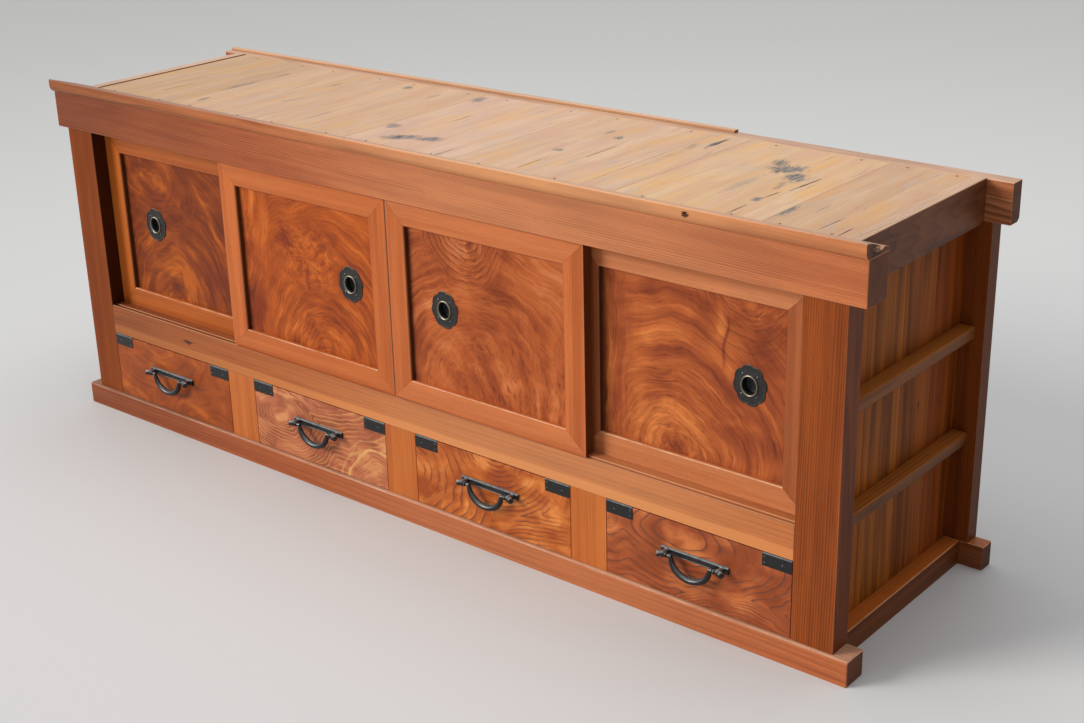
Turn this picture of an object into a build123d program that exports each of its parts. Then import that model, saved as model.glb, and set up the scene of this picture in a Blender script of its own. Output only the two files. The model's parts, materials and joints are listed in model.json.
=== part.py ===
from build123d import *
import math
import os

os.makedirs("parts", exist_ok=True)

# Driving sizes of the case, in millimetres
post_span = 1720.0          # outside to outside of the corner posts
case_depth = 459.0          # front faces of the posts to the back
handle_reach = 24.0         # how far the handle studs stand in front of the posts
post_width = 71.5           # face width of posts and dividers
post_depth = 41.0           # front posts and dividers, front to back
rear_timber = 29.5          # depth of every rear frame member
horn = 28.0                 # how far the long rails run past the posts
base_height = 42.5
drawer_opening = 130.5      # clear height of the drawer row
middle_height = 57.5
door_opening = 351.5        # clear height of the door row
front_beam_height = 69.0
deck_step = 2.5             # top boards above the front beam
drawer_count = 4

# Fits and cutting
overrun = 2.0               # how far a cut runs past the face it opens
seam = 0.4                  # joint line between boards laid side by side
joint_gap = 0.2             # around a tenon, a housed edge or a panel edge
run_gap = 0.3               # under a piece that slides on its seat
tenon_length = 14.0
tenon_share = 0.5           # of the timber's section
housing = 8.0               # how deep a board's edge is let in

# Base frame
base_proud = 6.5            # front rail in front of the posts
base_back = 40.0            # its rear face behind the post faces
base_arris = 4.5
end_ease = 1.5              # eased arrises at the horns

# Top frame and crown
beam_proud = 2.0
beam_back = 50.5
rear_beam_height = 66.0
rear_arris = 6.0
side_rail_drop = 2.0        # side rail's underside above the front beam's
deck_board = 16.0
side_rail_land = 22.0       # width of side rail that shows beside the boards
side_rail_stand = 2.0       # side rails above the top boards
crown_proud = 9.0           # crown in front of the beam
crown_rise = 24.5
crown_back_rise = 5.0
crown_quirk = 1.5           # flat under the crown, in front of the beam
crown_round = 13.0          # height of the rounded underside
crown_arris = 2.5
crown_belly_share = 0.72    # how full the rounded underside is, of its reach
crown_belly_rise_share = 0.36
lip_height = 5.0
lip_width = 12.0
lip_end_share = 0.43        # where the rear lip breaks off, of the half length
deck_seam_shares = ((0.136, 0.136), (0.269, 0.270), (0.409, 0.407), (0.561, 0.563),
                    (0.719, 0.717), (0.757, 0.760), (0.916, 0.916))

# Sides, back and inner boards
side_board_inset = 15.5     # side boards' inner faces outside the posts' inner faces
batten_reach = 27.0         # battens and side rails, outside the side boards
batten_height = 26.0
batten_bevel = 8.0
batten_ease = 2.0
side_board = 14.0
side_seam_shares = (0.24, 0.52, 0.77)
back_board = 10.0
back_seam_shares = (0.27, 0.52, 0.76)
shelf_board = 14.0
shelf_seam_shares = (0.36, 0.68)
floor_board = 12.0
floor_seam_shares = (0.34, 0.67)
partition_board = 12.0
guide_height = 18.0
ledger_height = 16.0
ledger_depth = 18.0

# Two door tracks cut in the middle rail and the front beam
middle_depth = 50.0
track_lip = 4.0             # wood left in front of the front track
track_step = 25.5           # front track to rear track
tongue = 6.0                # thickness of the doors' running tongues
tongue_play = 0.5           # each side of a tongue in its track
lower_track = 6.0
upper_track = 12.0
upper_tongue = 10.0
door_shoulder = 1.0         # door body clear of rail and beam

# Doors
door_lap = 20.75            # by how much a door is wider than its quarter
door_thick = 20.0
stile = 41.0
door_top_rail = 40.0
door_bottom_rail = 36.0
door_arris = 1.0
door_inner_arris = 1.6
mitre_gap = 0.2
panel_recess = 7.0
panel_thick = 6.0
panel_play = 0.5            # left for the panel to swell inside its groove
meeting_shift = -9.75       # where the two front doors meet, from the middle
meeting_gap = 0.5
door_end_gap = 0.3          # rear doors to the posts

# Finger pulls
pull_insets = (122.0, 98.0, 119.5, 103.5)   # cup centres from the doors' hand edges
pull_rise = 179.5           # cup centre above the door track
pull_width = 58.0
pull_height = 65.0
pull_lobes = 8
lobe_radius = 16.0
pull_plate = 1.2
ring_width = 30.0
ring_height = 35.0
ring_rise = 3.4
ring_bevel = 1.0
cup_width = 24.0
cup_height = 27.0
cup_depth = 9.0
cup_wall = 1.0

# Drawers
drawer_side_gap = 1.0
drawer_head_gap = 2.0
drawer_foot_gap = 0.8
drawer_front = 20.0
drawer_lap = 10.0           # drawer front in front of the box sides
drawer_side = 12.0
drawer_side_drop = 12.0     # box sides below the opening's head
drawer_bottom = 8.0
drawer_stop_gap = 0.5       # box to the back panel it stops against

# Corner plates on the drawer fronts
corner_length = 51.0
corner_height = 21.0
corner_sheet = 1.0
corner_flange = 8.0

# Drop handles
plate_length = 123.0
plate_height = 12.0
plate_thick = 5.0
plate_edge = 2.0            # thickness left at the plate's bevelled long edges
plate_flat_share = 0.4      # flat middle of the bevelled plate
handle_rise = 77.5          # pivot above the base rail
stud_radius = 6.0
stud_spacing = 105.0
stud_ease = 1.0
pivot_reach = 15.0          # pivot in front of the drawer face
pin_radius = 2.0
pin_fit = 0.05
pin_depth = 8.0             # pin inside its stud
bail_span = 76.0            # between the bail's arm centres
bail_drop = 31.0
bail_end_radius = 2.1
bail_mid_radius = 4.5
bail_sections = 13
bail_eye_radius = 3.2
bail_eye_length = 6.4
collar_radius = 4.0
collar_length = 3.0

# Places along X, symmetric about the middle
post_out = post_span / 2
post_in = post_out - post_width
post_mid = post_out - post_width / 2
rail_end = post_out + horn
panel_in = post_in + side_board_inset
panel_out = panel_in + side_board
side_out = panel_out + batten_reach
deck_end = side_out - side_rail_land
opening_width = (2 * post_in - (drawer_count - 1) * post_width) / drawer_count
opening_pitch = opening_width + post_width
opening_lefts = [-post_in + i * opening_pitch for i in range(drawer_count)]
divider_lefts = [left + opening_width for left in opening_lefts[:-1]]

# Places along Y, front to back
face = -(handle_reach + case_depth) / 2 + handle_reach
back = face + case_depth
post_rear = face + post_depth
post_centre = face + post_depth / 2
rear_face = back - rear_timber
rear_centre = back - rear_timber / 2
base_front = face - base_proud
base_rear = face + base_back
beam_front = face - beam_proud
beam_rear = face + beam_back
middle_rear = face + middle_depth

# Places along Z, floor to crown
drawer_head = base_height + drawer_opening
door_sill = drawer_head + middle_height
door_head = door_sill + door_opening
beam_top = door_head + front_beam_height
deck_top = beam_top + deck_step
deck_under = deck_top - deck_board
rear_head = deck_top - rear_beam_height
side_rail_under = door_head + side_rail_drop
side_rail_top = deck_top + side_rail_stand
shelf_under = door_sill - shelf_board


def board(x_span, y_span, z_span, mode=Mode.ADD):
    """A squared piece between two places along each axis."""
    centre = [sum(span) / 2 for span in (x_span, y_span, z_span)]
    length, depth, height = [max(span) - min(span) for span in (x_span, y_span, z_span)]
    with Locations(tuple(centre)):
        Box(length, depth, height, mode=mode)


def grown(centre, size, gap=0):
    """The two ends of a size about its centre, with a gap beyond each end."""
    return (centre - size / 2 - gap, centre + size / 2 + gap)


def stub(x, y, z_span, width, depth, gap=0, mode=Mode.ADD):
    """An upright tenon on the centre of a timber, or with a gap its mortise."""
    board(grown(x, width * tenon_share, gap), grown(y, depth * tenon_share, gap), z_span, mode)


def save(piece, name):
    piece.part.label = name
    export_step(piece.part, f"parts/{name}.step")


def mortises(y, depth, z_span, centres):
    """Mortises for a row of uprights that all have the posts' face width."""
    for x in centres:
        stub(x, y, z_span, post_width, depth, joint_gap, Mode.SUBTRACT)


def along_front(y):
    """A drawing plane that faces the front, at a place along Y."""
    return Plane.XZ.offset(-y)


post_centres = (-post_mid, post_mid)
divider_centres = [left + post_width / 2 for left in divider_lefts]

# Base frame: two long horned rails with short rails between them
with BuildPart() as front_bottom_rail:
    with BuildSketch(Plane.YZ) as section:
        with Locations((base_front, 0)):
            Rectangle(base_rear - base_front, base_height, align=(Align.MIN, Align.MIN))
        fillet(section.vertices().group_by(Axis.Y)[-1].sort_by(Axis.X)[0], base_arris)
    extrude(amount=rail_end, both=True)
    foot = (base_height - tenon_length - joint_gap, base_height + overrun)
    mortises(post_centre, post_depth, foot, [*post_centres, *divider_centres])
    ends = front_bottom_rail.faces().filter_by(Axis.X).group_by(Axis.X)
    chamfer(ends[0].edges() + ends[-1].edges(), end_ease)
save(front_bottom_rail, "front_bottom_rail")

with BuildPart() as rear_bottom_rail:
    board((-rail_end, rail_end), (rear_face, back), (0, base_height))
    ends = rear_bottom_rail.faces().filter_by(Axis.X)
    chamfer(ends.edges(), end_ease)
    board((-post_in - housing, post_in + housing), (rear_face - overrun, rear_face + back_board),
          (base_height - housing, base_height + overrun), Mode.SUBTRACT)
    mortises(rear_centre, rear_timber, foot, post_centres)
save(rear_bottom_rail, "rear_bottom_rail")

with BuildPart() as side_bottom_rails:
    for side in (-1, 1):
        board((side * panel_in, side * side_out), (base_rear, rear_face), (0, base_height))
save(side_bottom_rails, "side_bottom_rails")

# Posts, with stub tenons at both ends and grooves for the side boards
def post(side, y_span, z_span):
    """A corner post: side is -1 for the left and 1 for the right."""
    x = side * post_mid
    y = sum(y_span) / 2
    depth = max(y_span) - min(y_span)
    board((side * post_in, side * post_out), y_span, z_span)
    stub(x, y, (z_span[0] - tenon_length, z_span[1] + tenon_length), post_width, depth)


def side_groove(side, y_span, z_span):
    """The groove that takes the edge of a side's boards."""
    x_span = grown(side * (panel_in + panel_out) / 2, side_board, joint_gap)
    board(x_span, y_span, z_span, Mode.SUBTRACT)


middle_tenon = grown((drawer_head + door_sill) / 2, middle_height * tenon_share)
for side, name in ((-1, "front_left_post"), (1, "front_right_post")):
    with BuildPart() as front_post:
        post(side, (face, post_rear), (base_height, door_head))
        side_groove(side, (post_rear - housing - joint_gap, post_rear + overrun), (base_height, door_head))
        board((side * (post_in - overrun), side * (post_in + tenon_length + joint_gap)),
              grown(post_centre, post_depth * tenon_share, joint_gap),
              grown((drawer_head + door_sill) / 2, middle_height * tenon_share, joint_gap), Mode.SUBTRACT)
    save(front_post, name)

for side, name in ((-1, "rear_left_post"), (1, "rear_right_post")):
    with BuildPart() as rear_post:
        post(side, (rear_face, back), (base_height, rear_head))
        side_groove(side, (rear_face - overrun, rear_face + housing + joint_gap), (base_height, rear_head))
        board((side * (post_in - overrun), side * (post_in + housing)),
              (rear_face - overrun, rear_face + back_board), (base_height, rear_head), Mode.SUBTRACT)
    save(rear_post, name)

# Middle rail and front beam carry the two door tracks
tracks = [face + track_lip, face + track_lip + track_step]
track_width = tongue + 2 * tongue_play


def track_grooves(z_span):
    """Both door tracks, stopped at the posts."""
    for y in tracks:
        board((-post_in, post_in), (y, y + track_width), z_span, Mode.SUBTRACT)


with BuildPart() as middle_rail:
    board((-post_in, post_in), (face, middle_rear), (drawer_head, door_sill))
    track_grooves((door_sill - lower_track, door_sill + overrun))
    board((-post_in - tenon_length, post_in + tenon_length),
          grown(post_centre, post_depth * tenon_share), middle_tenon)
    mortises(post_centre, post_depth, (drawer_head - overrun, drawer_head + tenon_length + joint_gap),
             divider_centres)
save(middle_rail, "middle_rail")

with BuildPart() as drawer_dividers:
    for left, x in zip(divider_lefts, divider_centres):
        board((left, left + post_width), (face, post_rear), (base_height, drawer_head))
        stub(x, post_centre, (base_height - tenon_length, drawer_head + tenon_length), post_width, post_depth)
save(drawer_dividers, "drawer_dividers")

with BuildPart() as front_top_beam:
    board((-rail_end, rail_end), (beam_front, beam_rear), (door_head, beam_top))
    ends = front_top_beam.faces().filter_by(Axis.X)
    chamfer(ends.edges().group_by(Axis.Z)[0] + ends.edges().group_by(Axis.Y)[0], end_ease)
    track_grooves((door_head - overrun, door_head + upper_track))
    mortises(post_centre, post_depth, (door_head - overrun, door_head + tenon_length + joint_gap),
             post_centres)
save(front_top_beam, "front_top_beam")

# Crown: a tapered strip on the beam, its front rounded under the nose
with BuildPart() as crown_moulding:
    nose = beam_front - crown_proud
    heel = beam_front - crown_quirk
    with BuildSketch(Plane.YZ) as section:
        with BuildLine():
            belly = (heel + (nose - heel) * crown_belly_share, beam_top + crown_round * crown_belly_rise_share)
            Line((beam_rear, beam_top + crown_back_rise), (beam_rear, beam_top))
            Line((beam_rear, beam_top), (heel, beam_top))
            ThreePointArc((heel, beam_top), belly, (nose, beam_top + crown_round))
            Line((nose, beam_top + crown_round), (nose, beam_top + crown_rise))
            Line((nose, beam_top + crown_rise), (beam_rear, beam_top + crown_back_rise))
        make_face()
        fillet(section.vertices().sort_by(Axis.Y)[-1], crown_arris)
    extrude(amount=rail_end, both=True)
save(crown_moulding, "crown_moulding")

# Rear beam, flush with the top boards
with BuildPart() as rear_top_beam:
    board((-rail_end, rail_end), (rear_face, back), (rear_head, deck_top))
    chamfer(rear_top_beam.edges().filter_by(Axis.X).group_by(Axis.Z)[0].sort_by(Axis.Y)[-1], rear_arris)
    board((-post_in - housing, post_in + housing), (rear_face - overrun, rear_face + back_board),
          (rear_head - overrun, rear_head + housing), Mode.SUBTRACT)
    mortises(rear_centre, rear_timber, (rear_head - overrun, rear_head + tenon_length + joint_gap),
             post_centres)
save(rear_top_beam, "rear_top_beam")

with BuildPart() as rear_lip_strip:
    board((-rail_end, rail_end * lip_end_share), (back - lip_width, back), (deck_top, deck_top + lip_height))
save(rear_lip_strip, "rear_lip_strip")

# Side top rails: rebated above for the top boards and below for the side boards
with BuildPart() as side_top_rails:
    for side in (-1, 1):
        board((side * panel_in, side * side_out), (beam_rear, rear_face), (side_rail_under, side_rail_top))
        board((side * (panel_in - overrun), side * deck_end), (beam_rear - overrun, rear_face + overrun),
              (deck_under, side_rail_top + overrun), Mode.SUBTRACT)
        board((side * (panel_in - overrun), side * (panel_out + joint_gap)),
              (beam_rear - overrun, rear_face + overrun),
              (side_rail_under - overrun, side_rail_under + housing + joint_gap), Mode.SUBTRACT)
save(side_top_rails, "side_top_rails")

with BuildPart() as top_boards:
    board((-deck_end, deck_end), (beam_rear, rear_face), (deck_under, deck_top))
    with BuildSketch(Plane.XY.offset(deck_under)):
        for front_share, rear_share in deck_seam_shares:
            x_front = -deck_end + 2 * deck_end * front_share
            x_rear = -deck_end + 2 * deck_end * rear_share
            with BuildLine():
                Polyline((x_front, beam_rear), (x_front + seam, beam_rear),
                         (x_rear + seam, rear_face), (x_rear, rear_face), close=True)
            make_face()
    extrude(amount=deck_board, mode=Mode.SUBTRACT)
save(top_boards, "top_boards")

# Sides: upright boards let into the posts, with two battens across them
for side, name in ((-1, "left_side_panel"), (1, "right_side_panel")):
    with BuildPart() as side_panel:
        front_edge = post_rear - housing
        rear_edge = rear_face + housing
        top_edge = side_rail_under + housing
        with BuildSketch(Plane.YZ.offset(side * panel_in)):
            with BuildLine():
                Polyline((front_edge, base_height), (rear_edge, base_height), (rear_edge, rear_head),
                         (rear_face, rear_head), (rear_face, top_edge), (beam_rear, top_edge),
                         (beam_rear, door_head), (front_edge, door_head), close=True)
            make_face()
        extrude(amount=side * side_board)
        for share in side_seam_shares:
            y = post_rear + (rear_face - post_rear) * share
            board(grown(side * (panel_in + panel_out) / 2, side_board, overrun), grown(y, seam),
                  (base_height - overrun, top_edge + overrun), Mode.SUBTRACT)
    save(side_panel, name)

with BuildPart() as side_battens:
    for side in (-1, 1):
        for i in (1, 2):
            height = base_height + (side_rail_under - base_height) * i / 3
            with BuildSketch(along_front(post_rear)):
                with BuildLine():
                    Polyline((side * panel_out, height - batten_height / 2),
                             (side * (side_out - batten_bevel), height - batten_height / 2),
                             (side * side_out, height - batten_height / 2 + batten_bevel),
                             (side * side_out, height + batten_height / 2 - batten_ease),
                             (side * (side_out - batten_ease), height + batten_height / 2),
                             (side * panel_out, height + batten_height / 2), close=True)
                make_face()
            extrude(amount=post_rear - rear_face)
save(side_battens, "side_battens")

# Back and inner boards
with BuildPart() as back_panel:
    back_low = base_height - housing
    back_high = rear_head + housing
    board((-post_in - housing, post_in + housing), (rear_face, rear_face + back_board), (back_low, back_high))
    for share in back_seam_shares:
        z = back_low + (back_high - back_low) * share
        board((-post_out, post_out), (rear_face - overrun, back), grown(z, seam), Mode.SUBTRACT)
save(back_panel, "back_panel")

with BuildPart() as cabinet_floor:
    board((-panel_in, panel_in), (middle_rear, rear_face), (shelf_under, door_sill))
    for share in shelf_seam_shares:
        y = middle_rear + (rear_face - middle_rear) * share
        board((-post_out, post_out), grown(y, seam), (shelf_under - overrun, door_sill + overrun), Mode.SUBTRACT)
save(cabinet_floor, "cabinet_floor")

with BuildPart() as bottom_boards:
    board((-panel_in, panel_in), (base_rear, rear_face), (base_height - floor_board, base_height))
    for share in floor_seam_shares:
        y = base_rear + (rear_face - base_rear) * share
        board((-post_out, post_out), grown(y, seam), (0, base_height + overrun), Mode.SUBTRACT)
save(bottom_boards, "bottom_boards")

with BuildPart() as inner_partitions:
    for x in divider_centres:
        with BuildSketch(Plane.YZ.offset(x - partition_board / 2)):
            with BuildLine():
                Polyline((post_rear, base_height), (rear_face, base_height), (rear_face, shelf_under),
                         (middle_rear, shelf_under), (middle_rear, drawer_head), (post_rear, drawer_head),
                         close=True)
            make_face()
        extrude(amount=partition_board)
save(inner_partitions, "inner_partitions")

with BuildPart() as drawer_guides:
    guide_span = (base_height, base_height + guide_height)
    for side in (-1, 1):
        board((side * post_in, side * panel_in), (post_rear, rear_face), guide_span)
    for left, x in zip(divider_lefts, divider_centres):
        board((left, x - partition_board / 2), (post_rear, rear_face), guide_span)
        board((x + partition_board / 2, left + post_width), (post_rear, rear_face), guide_span)
save(drawer_guides, "drawer_guides")

with BuildPart() as board_ledgers:
    floor_under = base_height - floor_board
    for y_span in ((base_rear, base_rear + ledger_depth), (rear_face - ledger_depth, rear_face)):
        board((-panel_in, panel_in), y_span, (floor_under - ledger_height, floor_under))
    for y_span in ((beam_rear, beam_rear + ledger_depth), (rear_face - ledger_depth, rear_face)):
        board((-panel_in, panel_in), y_span, (deck_under - ledger_height, deck_under))
save(board_ledgers, "board_ledgers")

# Doors: mitred frames on running tongues, with a loose panel and a sunk finger pull
door_width = 2 * post_in / 4 + door_lap
door_low = door_sill + door_shoulder
door_high = door_head - door_shoulder
opening_low = door_low + door_bottom_rail
opening_high = door_high - door_top_rail
pull_height_mid = door_sill + pull_rise


def door_frame(left, front, name):
    """Four mitred members about the panel, tongued above and below."""
    right = left + door_width
    rear = front + door_thick
    foot = door_sill - lower_track + run_gap
    head = door_head + upper_tongue
    with BuildPart() as frame:
        board((left, right), (front, rear), (door_low, door_high))
        upright = frame.edges().filter_by(Axis.Z).group_by(Axis.Y)[0]
        chamfer(upright, door_arris)
        board((left, right), (front, front + tongue), (foot, head))
        board((left + stile, right - stile), (front - overrun, rear + overrun),
              (opening_low, opening_high), Mode.SUBTRACT)
        board((left + stile - housing, right - stile + housing),
              grown(front + panel_recess + panel_thick / 2, panel_thick, joint_gap),
              (opening_low - housing, opening_high + housing), Mode.SUBTRACT)
        with BuildSketch(along_front(front)):
            with Locations(((left + right) / 2, (opening_low + opening_high) / 2)):
                Rectangle(door_width - 2 * stile + 2 * door_inner_arris,
                          opening_high - opening_low + 2 * door_inner_arris)
        extrude(amount=-door_inner_arris, taper=45, mode=Mode.SUBTRACT)
        with BuildSketch(along_front(front)):
            for x, inner_x in ((left, left + stile), (right, right - stile)):
                for z, inner_z in ((door_low, opening_low), (door_high, opening_high)):
                    length = math.hypot(inner_x - x, inner_z - z) + 2 * mitre_gap
                    angle = math.degrees(math.atan2(inner_z - z, inner_x - x))
                    with Locations(Location(((x + inner_x) / 2, (z + inner_z) / 2), angle)):
                        Rectangle(length, mitre_gap)
        extrude(amount=-door_thick, mode=Mode.SUBTRACT)
    save(frame, f"{name}_frame")


def door_panel(left, front, pull_x, name):
    """A thin panel in the frame's groove, with the hole for the cup."""
    edge = housing - panel_play
    panel_front = front + panel_recess
    with BuildPart() as panel:
        board((left + stile - edge, left + door_width - stile + edge),
              (panel_front, panel_front + panel_thick), (opening_low - edge, opening_high + edge))
        with BuildSketch(along_front(panel_front)):
            with Locations((pull_x, pull_height_mid)):
                Ellipse(cup_width / 2 + cup_wall + joint_gap, cup_height / 2 + cup_wall + joint_gap)
        extrude(amount=-panel_thick, mode=Mode.SUBTRACT)
    save(panel, f"{name}_panel")


def finger_pull(front, pull_x, name):
    """A lobed plate with a raised ring about an oval cup."""
    panel_front = front + panel_recess
    plate_face = panel_front - pull_plate
    place = (pull_x, pull_height_mid)
    with BuildPart() as pull:
        with BuildSketch(along_front(panel_front)):
            for i in range(pull_lobes):
                turn = 2 * math.pi * i / pull_lobes
                lobe = (pull_x + (pull_width / 2 - lobe_radius) * math.cos(turn),
                        pull_height_mid + (pull_height / 2 - lobe_radius) * math.sin(turn))
                with Locations(lobe):
                    Circle(lobe_radius)
        extrude(amount=pull_plate)
        with BuildSketch(along_front(plate_face)):
            with Locations(place):
                Ellipse(ring_width / 2, ring_height / 2)
        extrude(amount=ring_rise)
        with BuildSketch(along_front(panel_front)):
            with Locations(place):
                Ellipse(cup_width / 2 + cup_wall, cup_height / 2 + cup_wall)
        extrude(amount=-cup_depth - cup_wall)
        with BuildSketch(along_front(plate_face - ring_rise)):
            with Locations(place):
                Ellipse(cup_width / 2, cup_height / 2)
        extrude(amount=-ring_rise - pull_plate - cup_depth, mode=Mode.SUBTRACT)
        rim = pull.faces().filter_by(Axis.Y).sort_by(Axis.Y)[0]
        chamfer(rim.edges(), ring_bevel)
    save(pull, f"{name}_pull")


rear_door_left = -post_in + door_end_gap
front_pair_left = meeting_shift - meeting_gap / 2 - door_width
front_pair_right = meeting_shift + meeting_gap / 2
front_track_face = tracks[0] + tongue_play
rear_track_face = tracks[1] + tongue_play
doors = (
    ("door_1", rear_door_left, rear_track_face, rear_door_left + pull_insets[0]),
    ("door_2", front_pair_left, front_track_face, front_pair_left + door_width - pull_insets[1]),
    ("door_3", front_pair_right, front_track_face, front_pair_right + pull_insets[2]),
    ("door_4", -rear_door_left - door_width, rear_track_face, -rear_door_left - pull_insets[3]),
)
for name, left, front, pull_x in doors:
    door_frame(left, front, name)
    door_panel(left, front, pull_x, name)
    finger_pull(front, pull_x, name)

# Drawers: a thick front lapped over a plain nailed box
box_floor = base_height + run_gap
box_low = box_floor + drawer_bottom
box_high = drawer_head - drawer_side_drop
front_low = base_height + drawer_foot_gap
front_high = drawer_head - drawer_head_gap
box_front = face + drawer_lap
box_rear = rear_face - drawer_stop_gap
handle_height = base_height + handle_rise


def drawer_board(left, right, name):
    """The drawer front, rebated behind for the box sides and its bottom."""
    with BuildPart() as front:
        board((left, right), (face, face + drawer_front), (front_low, front_high))
        for x_span in ((left - overrun, left + drawer_side), (right - drawer_side, right + overrun)):
            board(x_span, (box_front, face + drawer_front + overrun),
                  (front_low - overrun, box_high), Mode.SUBTRACT)
        board((left - overrun, right + overrun), (box_front, face + drawer_front + overrun),
              (front_low - overrun, box_low), Mode.SUBTRACT)
    save(front, f"{name}_front")


def drawer_box(left, right, name):
    """Two sides and a back."""
    with BuildPart() as box:
        for x_span in ((left, left + drawer_side), (right - drawer_side, right)):
            board(x_span, (box_front, box_rear), (box_low, box_high))
        board((left + drawer_side + joint_gap, right - drawer_side - joint_gap),
              (box_rear - drawer_side, box_rear), (box_low, box_high))
    save(box, f"{name}_box")
    with BuildPart() as bottom:
        board((left, right), (box_front, box_rear), (box_floor, box_low))
    save(bottom, f"{name}_bottom")


def corner_plates(left, right, name):
    """Bent sheet plates over the front's two upper corners."""
    with BuildPart() as plates:
        for x_span in ((left, left + corner_length), (right - corner_length, right)):
            board(x_span, (face - corner_sheet, face), (front_high - corner_height, front_high))
            board(x_span, (face - corner_sheet, face + corner_flange),
                  (front_high, front_high + corner_sheet))
    save(plates, f"{name}_corner_plates")


def handle_plate(x, name):
    """A bevelled back plate with two studs, bored across for the bail's pins."""
    flat = plate_height * plate_flat_share / 2
    with BuildPart() as plate:
        with BuildSketch(Plane.YZ.offset(x - plate_length / 2)):
            with BuildLine():
                Polyline((face, handle_height - plate_height / 2),
                         (face - plate_edge, handle_height - plate_height / 2),
                         (face - plate_thick, handle_height - flat),
                         (face - plate_thick, handle_height + flat),
                         (face - plate_edge, handle_height + plate_height / 2),
                         (face, handle_height + plate_height / 2), close=True)
            make_face()
        extrude(amount=plate_length)
        with BuildSketch(along_front(face - plate_edge)):
            for side in (-1, 1):
                with Locations((x + side * stud_spacing / 2, handle_height)):
                    Circle(stud_radius)
        extrude(amount=handle_reach - plate_edge)
        tips = plate.edges().filter_by(GeomType.CIRCLE).group_by(Axis.Y)[0]
        chamfer(tips, stud_ease)
        for side in (-1, 1):
            inner = x + side * (stud_spacing / 2 - stud_radius)
            mouth = Plane(origin=(inner - side * overrun, face - pivot_reach, handle_height),
                          z_dir=(side, 0, 0))
            with BuildSketch(mouth):
                Circle(pin_radius + pin_fit)
            extrude(amount=overrun + pin_depth + run_gap, mode=Mode.SUBTRACT)
    save(plate, f"{name}_handle_plate")


def bail(x, name):
    """A swelling half oval that hangs from two pins in the studs."""
    pivot = Vector(x, face - pivot_reach, handle_height)
    with BuildPart() as handle:
        for i in range(bail_sections):
            turn = math.pi * i / (bail_sections - 1)
            place = pivot + Vector(bail_span / 2 * math.cos(turn), 0, -bail_drop * math.sin(turn))
            run = Vector(-bail_span / 2 * math.sin(turn), 0, -bail_drop * math.cos(turn))
            with BuildSketch(Plane(origin=place, x_dir=(0, 1, 0), z_dir=run)):
                Circle(bail_end_radius + (bail_mid_radius - bail_end_radius) * math.sin(turn))
        loft(ruled=True)
        for side in (-1, 1):
            arm = pivot + Vector(side * bail_span / 2, 0, 0)
            with BuildSketch(Plane(origin=arm, z_dir=(side, 0, 0))):
                Circle(bail_eye_radius)
            extrude(amount=bail_eye_length / 2, both=True)
            with BuildSketch(Plane(origin=arm, z_dir=(side, 0, 0))):
                Circle(pin_radius)
            extrude(amount=(stud_spacing - bail_span) / 2 - stud_radius + pin_depth)
            inner = x + side * (stud_spacing / 2 - stud_radius - run_gap)
            with BuildSketch(Plane(origin=(inner, pivot.Y, pivot.Z), z_dir=(-side, 0, 0))):
                Circle(collar_radius)
            extrude(amount=collar_length)
    save(handle, f"{name}_bail")


for i, opening_left in enumerate(opening_lefts):
    name = f"drawer_{i + 1}"
    left = opening_left + drawer_side_gap
    right = opening_left + opening_width - drawer_side_gap
    middle = (left + right) / 2
    drawer_board(left, right, name)
    drawer_box(left, right, name)
    corner_plates(left, right, name)
    handle_plate(middle, name)
    bail(middle, name)
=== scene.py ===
import json
import math

import bmesh
import bpy
from mathutils import Matrix, Vector

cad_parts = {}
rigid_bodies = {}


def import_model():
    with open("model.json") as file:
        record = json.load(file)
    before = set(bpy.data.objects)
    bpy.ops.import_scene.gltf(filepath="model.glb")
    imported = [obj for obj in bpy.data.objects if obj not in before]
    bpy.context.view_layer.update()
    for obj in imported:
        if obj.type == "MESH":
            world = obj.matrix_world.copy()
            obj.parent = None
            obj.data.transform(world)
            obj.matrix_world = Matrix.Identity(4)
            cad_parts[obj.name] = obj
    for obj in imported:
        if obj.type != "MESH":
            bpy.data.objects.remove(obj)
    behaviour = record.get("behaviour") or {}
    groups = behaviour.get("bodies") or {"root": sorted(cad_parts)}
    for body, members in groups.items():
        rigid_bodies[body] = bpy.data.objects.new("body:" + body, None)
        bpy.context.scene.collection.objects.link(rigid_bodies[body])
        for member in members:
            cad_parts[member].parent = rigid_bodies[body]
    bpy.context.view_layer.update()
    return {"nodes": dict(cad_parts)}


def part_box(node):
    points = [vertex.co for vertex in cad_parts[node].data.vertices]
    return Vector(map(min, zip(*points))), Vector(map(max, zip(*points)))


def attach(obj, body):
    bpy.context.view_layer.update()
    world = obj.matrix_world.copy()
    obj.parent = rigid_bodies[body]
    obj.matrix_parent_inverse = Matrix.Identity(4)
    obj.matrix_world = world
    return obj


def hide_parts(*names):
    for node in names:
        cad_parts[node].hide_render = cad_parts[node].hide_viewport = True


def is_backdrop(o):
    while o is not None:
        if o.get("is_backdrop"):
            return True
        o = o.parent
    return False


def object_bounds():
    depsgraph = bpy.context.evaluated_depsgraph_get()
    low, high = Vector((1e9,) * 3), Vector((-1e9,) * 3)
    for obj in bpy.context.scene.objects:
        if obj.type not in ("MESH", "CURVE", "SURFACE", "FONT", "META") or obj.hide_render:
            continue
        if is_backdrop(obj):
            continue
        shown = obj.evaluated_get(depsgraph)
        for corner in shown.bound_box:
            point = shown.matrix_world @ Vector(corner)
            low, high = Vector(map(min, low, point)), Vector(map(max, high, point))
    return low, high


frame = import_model()
mm = 0.001
IN_MM = (1000, 1000, 1000)
OUTWARD = (0, -1, 0)


# Selecting and shaping, all in the frame's own place
def rest():
    """Leaves edit mode and selects nothing."""
    if bpy.context.mode != "OBJECT":
        bpy.ops.object.mode_set(mode="OBJECT")
    bpy.ops.object.select_all(action="DESELECT")


def take(piece):
    rest()
    piece.select_set(True)
    bpy.context.view_layer.objects.active = piece


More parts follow.
